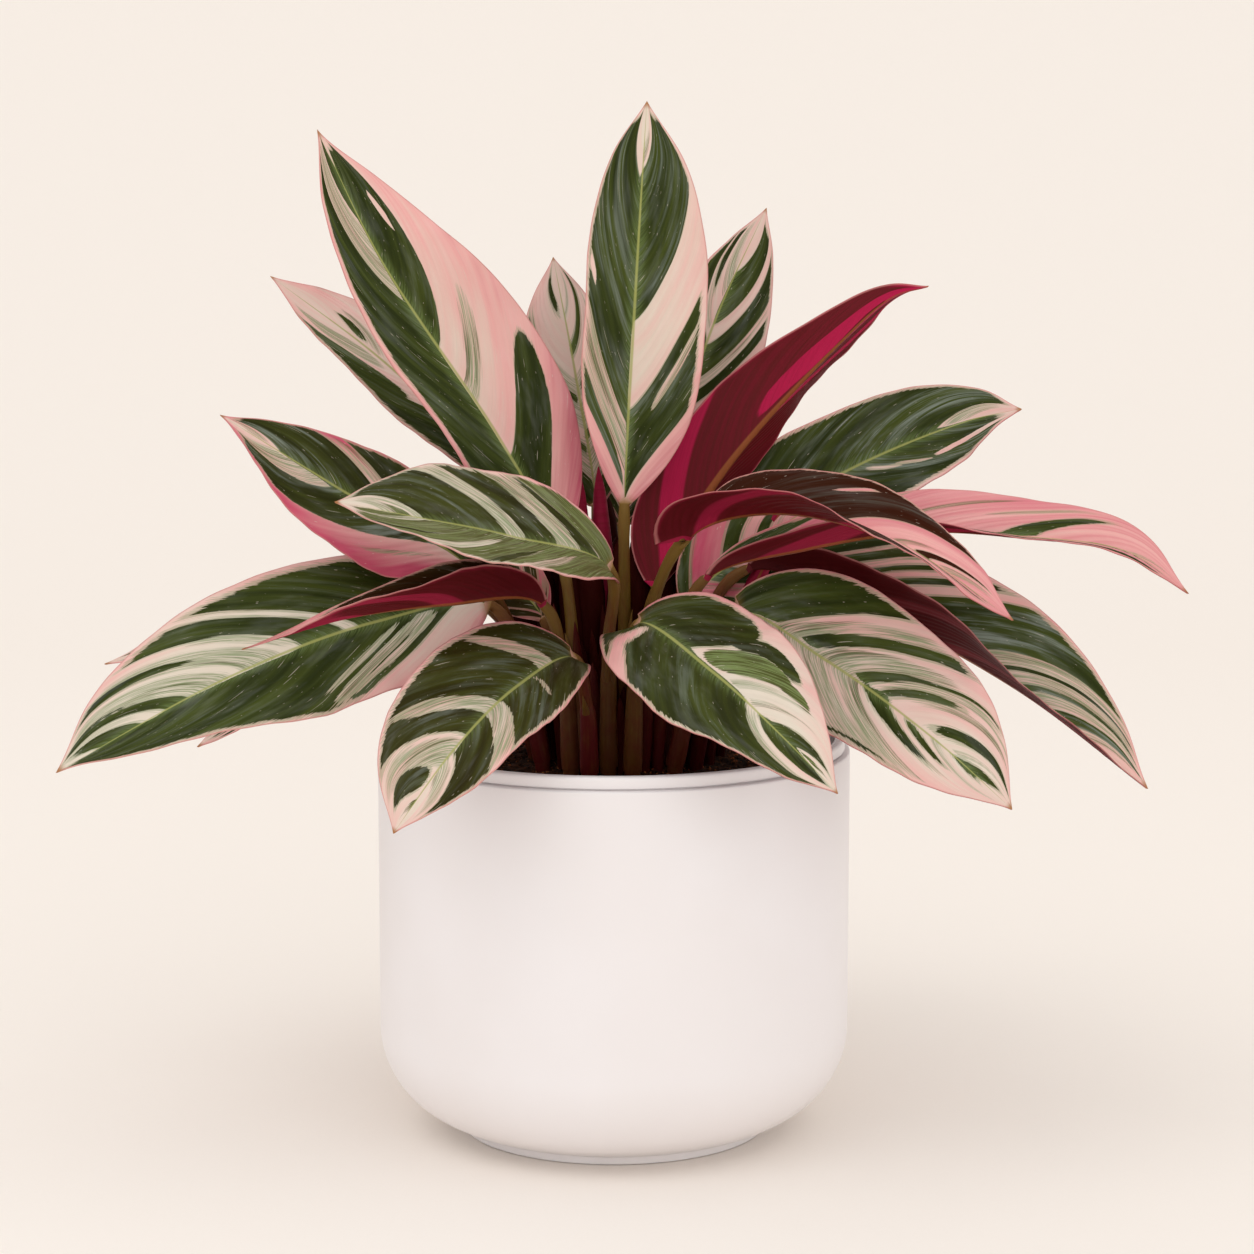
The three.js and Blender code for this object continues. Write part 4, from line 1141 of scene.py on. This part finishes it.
def rounded(before, corner, after, size, steps=4):
    """A small round between two straight runs of a profile."""
    before, corner, after = (np.array(p[:2], float) for p in (before, corner, after))
    a = corner + unit(before - corner) * size
    b = corner + unit(after - corner) * size
    turns = np.linspace(0, 1, steps + 1)[:, None]
    return [tuple(p) for p in (1 - turns) ** 2 * a + 2 * turns * (1 - turns) * corner + turns**2 * b]


def pot_profile():
    """From the foot's middle out, up the wall, over the lip and down inside. A third number rounds."""
    turn = math.acos((FOOT_RADIUS + EDGE - BELLY_CENTRE) / (POT_RADIUS - BELLY_CENTRE))
    groove_top = SHOULDER_HEIGHT + GROOVE_WIDTH
    corners = [
        (0, 0), (FOOT_RADIUS, 0, EDGE), (FOOT_RADIUS, FOOT_HEIGHT, 0.4),
        *bowl_arc(POT_RADIUS, BELLY_FLOOR, turn, 0, 28),
        (POT_RADIUS, SHOULDER_HEIGHT, EDGE), (GROOVE_RADIUS, SHOULDER_HEIGHT, 0.3),
        (GROOVE_RADIUS, groove_top, 0.2), (LIP_RADIUS, groove_top, 0.25),
        (LIP_RADIUS, POT_HEIGHT, LIP_ROUND), (BORE_RADIUS, POT_HEIGHT, LIP_ROUND),
        *bowl_arc(BORE_RADIUS, FLOOR_HEIGHT, 0, math.pi / 2, 16), (0, FLOOR_HEIGHT),
    ]
    profile = []
    for k, (r, z, *size) in enumerate(corners):
        profile += rounded(corners[k - 1], (r, z), corners[k + 1], *size) if size else [(r, z)]
    return profile


def mix_height(x, y):
    bumps = np.sin(x * 0.21 + 1.3) * np.cos(y * 0.17) + 0.6 * np.sin(x * 0.47 - y * 0.39)
    mound = np.exp(-(x * x + (y - CLUMP_Y) ** 2) / (2 * MIX_MOUND_SPREAD**2))
    return MIX_TOP + MIX_BUMP * bumps + MIX_MOUND * mound


def crumb_tree(material):
    """Crumbs of uneven size and shape, scattered over the upward faces of a mesh."""
    sizes = [(label, "NodeSocketFloat", 0.0) for label in ("Density", "Largest")]
    tree, node, given = new_tree("scattered_crumbs", [*sizes, ("Seed", "NodeSocketInt", 0)])
    seed = given["Seed"]
    up = node("ShaderNodeSeparateXYZ", node("GeometryNodeInputNormal"), out=2)
    top = node("FunctionNodeCompare", up, 0.9)
    points = node("GeometryNodeDistributePointsOnFaces", given["Geometry"], top, given["Density"], seed)
    # Few crumbs are near the largest, and each is squashed and turned its own way.
    chance = node("FunctionNodeRandomValue", 0.0, 1.0, None, seed)
    few = node(MATH, chance, 2.5, operation="POWER")
    size = node(RANGE, few, 0.0, 1.0, 0.2, 1.0, interpolation_type="LINEAR")
    size = node(MATH, size, given["Largest"], operation="MULTIPLY")
    random_vector = partial(node, "FunctionNodeRandomValue", data_type="FLOAT_VECTOR")
    uneven = random_vector((0.45, 0.45, 0.35), (1.0, 0.8, 0.7), None, seed)
    scale = node("ShaderNodeVectorMath", uneven, named={"Scale": size}, operation="SCALE")
    turn = random_vector((0, 0, 0), (6.28, 6.28, 6.28), None, seed)
    crumb = node("GeometryNodeMeshIcoSphere", 0.5, 1)
    crumbs = node("GeometryNodeInstanceOnPoints", points, None, crumb, None, None, turn, scale)
    dry = node("FunctionNodeRandomValue", 0.0, 1.0, None, 3)
    dry = node(MATH, dry, 1.3, operation="POWER")
    crumbs = node("GeometryNodeStoreNamedAttribute", crumbs, None, "dry", dry, domain="INSTANCE")
    crumbs = node("GeometryNodeRealizeInstances", crumbs)
    # Their points are pushed to and fro, by 0.6 mm at most along each axis.
    rough = node("ShaderNodeTexNoise", node("GeometryNodeInputPosition"), 700.0, out="Color")
    nudge = node("ShaderNodeVectorMath", rough, (0.5, 0.5, 0.5), operation="SUBTRACT")
    nudge = node("ShaderNodeVectorMath", nudge, named={"Scale": 0.0012}, operation="SCALE")
    crumbs = node("GeometryNodeSetPosition", crumbs, None, None, nudge)
    node("NodeGroupOutput", node("GeometryNodeSetMaterial", crumbs, None, material))
    return tree


def stem_tree(material):
    """Round stems along a mesh's edges, as thick as its points say, each with a seam along it."""
    sizes = [("Sides", "NodeSocketInt", 12), ("Wrap", "NodeSocketFloat", 0.0)]
    tree, node, given = new_tree("round_stems", sizes)
    girth, stem = [node("GeometryNodeInputNamedAttribute", name) for name in ("girth", "stem")]
    curve = node("GeometryNodeMeshToCurve", given["Geometry"])
    along = node("GeometryNodeSplineParameter", out="Length")
    curve = node("GeometryNodeStoreNamedAttribute", curve, None, "along", along)
    around = node(MATH, node("GeometryNodeInputIndex"), given["Sides"], operation="DIVIDE")
    swell = node(MATH, around, given["Wrap"], operation="MULTIPLY")
    place = node("GeometryNodeInputPosition")
    offset = node("ShaderNodeVectorMath", place, named={"Scale": swell}, operation="SCALE")
    profile = node("GeometryNodeCurvePrimitiveCircle", given["Sides"], 1.0)
    profile = node("GeometryNodeSetPosition", profile, None, None, offset)
    profile = node("GeometryNodeStoreNamedAttribute", profile, None, "around", around)
    stems = node("GeometryNodeCurveToMesh", curve, profile, girth, True)
    # The map runs along the stem and round it, in the unit of the leaves' maps. The stems of a piece lie
    # apart in it, so that no two of them share streaks.
    x, y = [node("GeometryNodeInputNamedAttribute", name) for name in ("along", "around")]
    x = node(MATH, x, 1 / MM / MAP_UNIT, operation="MULTIPLY")
    x = node(MATH, stem, SEED_STEP, x, operation="MULTIPLY_ADD")
    y = node(MATH, y, STALK_GIRTH / MAP_UNIT, operation="MULTIPLY")
    spot = node("ShaderNodeCombineXYZ", x, y)
    stems = node(
        "GeometryNodeStoreNamedAttribute", stems, None, "LeafMap", spot, data_type="FLOAT2", domain="CORNER"
    )
    stems = node("GeometryNodeRealizeInstances", node("GeometryNodeSetShadeSmooth", stems))
    node("NodeGroupOutput", node("GeometryNodeSetMaterial", stems, None, material))
    return tree


def stem_paths(name, stems):
    """A mesh of open lines. Each stem gives its points, their radii, their runs, its tone and its painted
    shade.
    """
    # The rolled leaves' finish reads these: far from a margin, young, and just outside a green band.
    edges, start = [], 0
    for points, *_ in stems:
        edges += [(start + k, start + k + 1) for k in range(len(points) - 1)]
        start += len(points)
    mesh = new_mesh(name, np.concatenate([points for points, *_ in stems]), [], edges=edges)
    for key, value in (("rim", 9.0), ("young", 0.75), ("green", -0.6)):
        write_values(mesh, key, np.full(len(mesh.vertices), value))
    numbered = [(*stem, len(LEAVES) + n) for n, stem in enumerate(stems)]
    for place, key in enumerate(("girth", "run", "tone", "shade", "stem"), 1):
        values = [np.broadcast_to(stem[place], len(stem[0])) for stem in numbered]
        write_values(mesh, key, np.concatenate(values))
    return mesh


def sheaths(settings):
    """A sheath round the foot of each stalk, whose torn tip stands off on the side away from the clump."""
    pick = random.Random(settings.seed)
    found = []
    for leaf in LEAVES.values():
        line = CentreLine(leaf)
        top = pick.uniform(*SHEATH_TOPS)
        shares = np.linspace(0, top, SHEATH_POINTS)
        radii = stalk_radius(shares) + np.interp(shares / top, *SHEATH_GAPS)
        tone = min(1, max(0, leaf["tone"] + pick.uniform(-0.1, 0.35)))
        found.append((line.place(line.heel * shares), radii * MM, shares * 0.5 - 1, tone, 0.0))
        tip = line.place(line.heel * (top + np.linspace(-0.06, 0.1, TORN_POINTS)))
        away = unit(np.array([tip[0, 0], tip[0, 1] - CLUMP_Y, 0]))
        stand_off = radii[-4] - 0.5 + np.linspace(0, 1.6, TORN_POINTS)[:, None] ** 1.5
        runs = np.linspace(-0.3, -0.05, TORN_POINTS)
        found.append((tip + away * stand_off, np.linspace(1.5, 0.12, TORN_POINTS) * MM, runs, 0.25, 0.0))
    return found


def shoots(settings):
    """Young shoots crowded between the stalks, taller and thicker at the back, and darkened with painted
    shade.
    """
    pick = random.Random(settings.seed)
    taken = [np.array(leaf["root"], float) for leaf in LEAVES.values()]
    found = []
    for _ in range(SHOOT_TRIES):
        if len(found) == settings.shoots:
            break
        spot = np.array([pick.uniform(*limits) for limits in CLUMP_BOX])
        inside = np.linalg.norm((spot - CLUMP_MIDDLE) / CLUMP_REACH) < 1
        if not inside or min(np.linalg.norm(spot - other) for other in taken) < SHOOT_SPACING:
            continue
        taken.append(spot)
        behind = spot[1] > CLUMP_Y
        heights, tilts, widths = BACK_SHOOTS if behind else FRONT_SHOOTS
        height = pick.uniform(*heights)
        lean = (spot - SHOOTS_LEAN_FROM) * pick.uniform(*tilts)
        up = np.linspace(0, 1, SHOOT_POINTS)[:, None]
        rise = STALK_START - SHOOT_DEPTH + (height + SHOOT_DEPTH) * up
        points = np.hstack([spot + lean * up**1.6, rise])
        girth = pick.uniform(0.8, 1.1) * np.interp(up[:, 0], [0, 0.4, 0.7, 0.92, 1], widths)
        # How much painted shade the shoot takes: the most behind the clump's middle.
        shade = 0.9 if behind else pick.uniform(0.3, 0.9)
        found.append((points, girth * MM, up[:, 0] * 0.6 - 1, 1.0, shade))
    return found


def spears():
    """Rolled young leaves, pink and maroon, that rise from the clump."""
    found = []
    for root, top, thickest in SPEARS:
        up = np.linspace(0, 1, SPEAR_POINTS)[:, None]
        aside = (np.array(top[:2]) - root) * up**1.6
        start = STALK_START - SHOOT_DEPTH
        points = np.hstack([root + aside, start + (top[2] - start) * up])
        girth = thickest * np.interp(up[:, 0], *SPEAR_SHAPE)
        found.append((points, girth * MM, up[:, 0] * 0.9, 1.0, 0.0))
    return found


# ---- Operators ----
class TRIOSTAR_OT_pot(Operator):
    """Turn the footed pot with its grooved lip"""

    bl_idname = "triostar.pot"
    bl_label = "Pot"

    def execute(self, context):
        settings = context.scene.triostar_pot
        mesh = lathe("glazed_pot", pot_profile(), settings.sides, ceramic_material(settings))
        settle(new_object("glazed_pot", mesh), "ceramic", "pot")
        return {"FINISHED"}


class TRIOSTAR_OT_potting_mix(Operator):
    """Fill the pot with lumpy potting mix and scatter its crumbs"""

    bl_idname = "triostar.potting_mix"
    bl_label = "Potting mix"

    def execute(self, context):
        settings = context.scene.triostar_mix
        radius = BORE_RADIUS - MIX_CLEARANCE
        floor = FLOOR_HEIGHT + MIX_CLEARANCE
        profile = [(0, floor), *bowl_arc(radius, floor, math.pi / 2, 0, 10)]
        profile += [(radius * (1 - k / MIX_RINGS), MIX_TOP) for k in range(MIX_RINGS + 1)]
        mesh = lathe("mix_bed", profile, MIX_SIDES, mix_material(settings, "moist_peat_mix", least=0.12))
        for vertex in mesh.vertices:
            x, y, z = vertex.co / MM
            if z > MIX_TOP - 0.1:
                lump = noise.fractal(Vector((x * LUMP_PITCH, y * LUMP_PITCH, 0.0)), 1.0, 2.0, 4)
                vertex.co.z = (mix_height(x, y) + LUMP_HEIGHT * lump - LUMP_SINK) * MM
        settle(new_object("mix_bed", mesh), "potting_mix", "potting_mix")
        tree = crumb_tree(mix_material(settings, "bark_and_coir_crumbs", least=0.0))
        sizes = dict(Density=settings.density * 1e4, Largest=settings.crumb_size, Seed=settings.seed)
        settle(grown("mix_crumbs", mesh.copy(), tree, **sizes), "potting_mix")
        return {"FINISHED"}


class TRIOSTAR_OT_leaves(Operator):
    """Grow every leaf, stalk and blade together, and the young leaves low in the clump"""

    bl_idname = "triostar.leaves"
    bl_label = "Leaves"

    def execute(self, context):
        settings = context.scene.triostar_leaf
        materials = [blade_top_material(settings), blade_under_material(settings), stalk_material(settings)]
        for number, (name, leaf) in enumerate(LEAVES.items()):
            mesh = leaf_mesh(f"grown_{name}", leaf, number, settings, materials)
            settle(new_object(f"grown_{name}", mesh), "leaf", f"leaf_{name}")
        for number, (name, leaf) in enumerate(YOUNG_LEAVES.items(), FIRST_YOUNG):
            mesh = leaf_mesh(name, leaf, number, settings, materials)
            settle(new_object(name, mesh), "leaf")
        return {"FINISHED"}


class TRIOSTAR_OT_clump(Operator):
    """Wrap a sheath round the foot of every stalk, and crowd shoots and rolled leaves between them"""

    bl_idname = "triostar.clump"
    bl_label = "Sheaths and shoots"

    def execute(self, context):
        settings = context.scene.triostar_clump
        skin = bpy.data.materials["ribbed_leaf_stalk"]
        young_skin = bpy.data.materials["maroon_leaf_underside"]
        pieces = (
            ("leaf_sheaths", sheaths(settings), skin),
            ("young_shoots", shoots(settings), skin),
            ("rolled_leaves", spears(), young_skin),
        )
        sizes = dict(Sides=settings.sides, Wrap=settings.wrap)
        for name, stems, material in pieces:
            settle(grown(name, stem_paths(name, stems), stem_tree(material), **sizes), "leaf")
        return {"FINISHED"}


def soft_light(name, place, size, power):
    lamp = bpy.data.lights.new(name, "AREA")
    lamp.shape = "DISK"
    lamp.size = size
    lamp.energy = power
    holder = bpy.data.objects.new(name, lamp)
    holder.location = place
    holder.rotation_euler = (LIT_POINT - holder.location).to_track_quat("-Z", "Y").to_euler()
    bpy.context.scene.collection.objects.link(holder)


class TRIOSTAR_OT_stage(Operator):
    """Set the plain floor, the soft lights and the camera"""

    bl_idname = "triostar.stage"
    bl_label = "Stage"

    def execute(self, context):
        scene = context.scene
        settings = scene.triostar_stage
        turns = np.linspace(0, math.pi / 2, 24)
        bend = zip(BEND_START + BEND_RADIUS * np.sin(turns), BEND_RADIUS - BEND_RADIUS * np.cos(turns))
        sweep = [(SWEEP_FRONT, 0.0), *bend, (BEND_START + BEND_RADIUS, SWEEP_TOP)]
        vertices = [(x, y, z - SWEEP_DROP) for y, z in sweep for x in (-SWEEP_SIDE, SWEEP_SIDE)]
        faces = [(2 * k, 2 * k + 1, 2 * k + 3, 2 * k + 2) for k in range(len(sweep) - 1)]
        paper = new_mesh("paper_sweep", np.array(vertices) / MM, faces, paper_material(settings))
        new_object("paper_sweep", paper)
        world = bpy.data.worlds.new("even_light")
        world.use_nodes = True
        background = world.node_tree.nodes["Background"]
        background.inputs["Color"].default_value = settings.sky_colour
        background.inputs["Strength"].default_value = settings.sky
        scene.world = world
        soft_light("top_light", (-0.9, -0.8, 2.1), 1.6, settings.top_power)
        soft_light("front_light", (1.0, -2.3, 0.9), 2.4, settings.front_power)
        scene.view_settings.view_transform = "Standard"
        camera = bpy.data.objects.new("camera", bpy.data.cameras.new("camera"))
        camera.data.lens = CAMERA_LENS
        camera.data.sensor_width = CAMERA_SENSOR
        camera.location = CAMERA_PLACE
        camera.rotation_euler = (math.radians(90 - CAMERA_PITCH), 0, 0)
        scene.collection.objects.link(camera)
        scene.camera = camera
        return {"FINISHED"}


class TRIOSTAR_PT_panel(Panel):
    """Buttons for the potted triostar"""

    bl_label = "Potted triostar"
    bl_space_type = "VIEW_3D"
    bl_region_type = "UI"
    bl_category = "Triostar"

    def draw(self, context):
        for operator in OPERATORS:
            self.layout.operator(operator.bl_idname)
        for group in SETTINGS:
            box = self.layout.box()
            for key in SETTINGS[group].__annotations__:
                box.prop(getattr(context.scene, group), key)


# ---- Registration ----
OPERATORS = [
    TRIOSTAR_OT_pot, TRIOSTAR_OT_potting_mix, TRIOSTAR_OT_leaves, TRIOSTAR_OT_clump, TRIOSTAR_OT_stage
]
SETTINGS = {
    "triostar_leaf": TriostarLeafSettings,
    "triostar_pot": TriostarPotSettings,
    "triostar_mix": TriostarMixSettings,
    "triostar_clump": TriostarClumpSettings,
    "triostar_stage": TriostarStageSettings,
}
CLASSES = [*SETTINGS.values(), *OPERATORS, TRIOSTAR_PT_panel]


def register():
    for cls in CLASSES:
        bpy.utils.register_class(cls)
    for name, group in SETTINGS.items():
        setattr(bpy.types.Scene, name, PointerProperty(type=group))


def unregister():
    for name in SETTINGS:
        delattr(bpy.types.Scene, name)
    for cls in reversed(CLASSES):
        bpy.utils.unregister_class(cls)


def main():
    register()
    bpy.ops.triostar.stage()
    bpy.ops.triostar.pot()
    bpy.ops.triostar.potting_mix()
    bpy.ops.triostar.leaves()
    bpy.ops.triostar.clump()


if __name__ == "__main__":
    main()
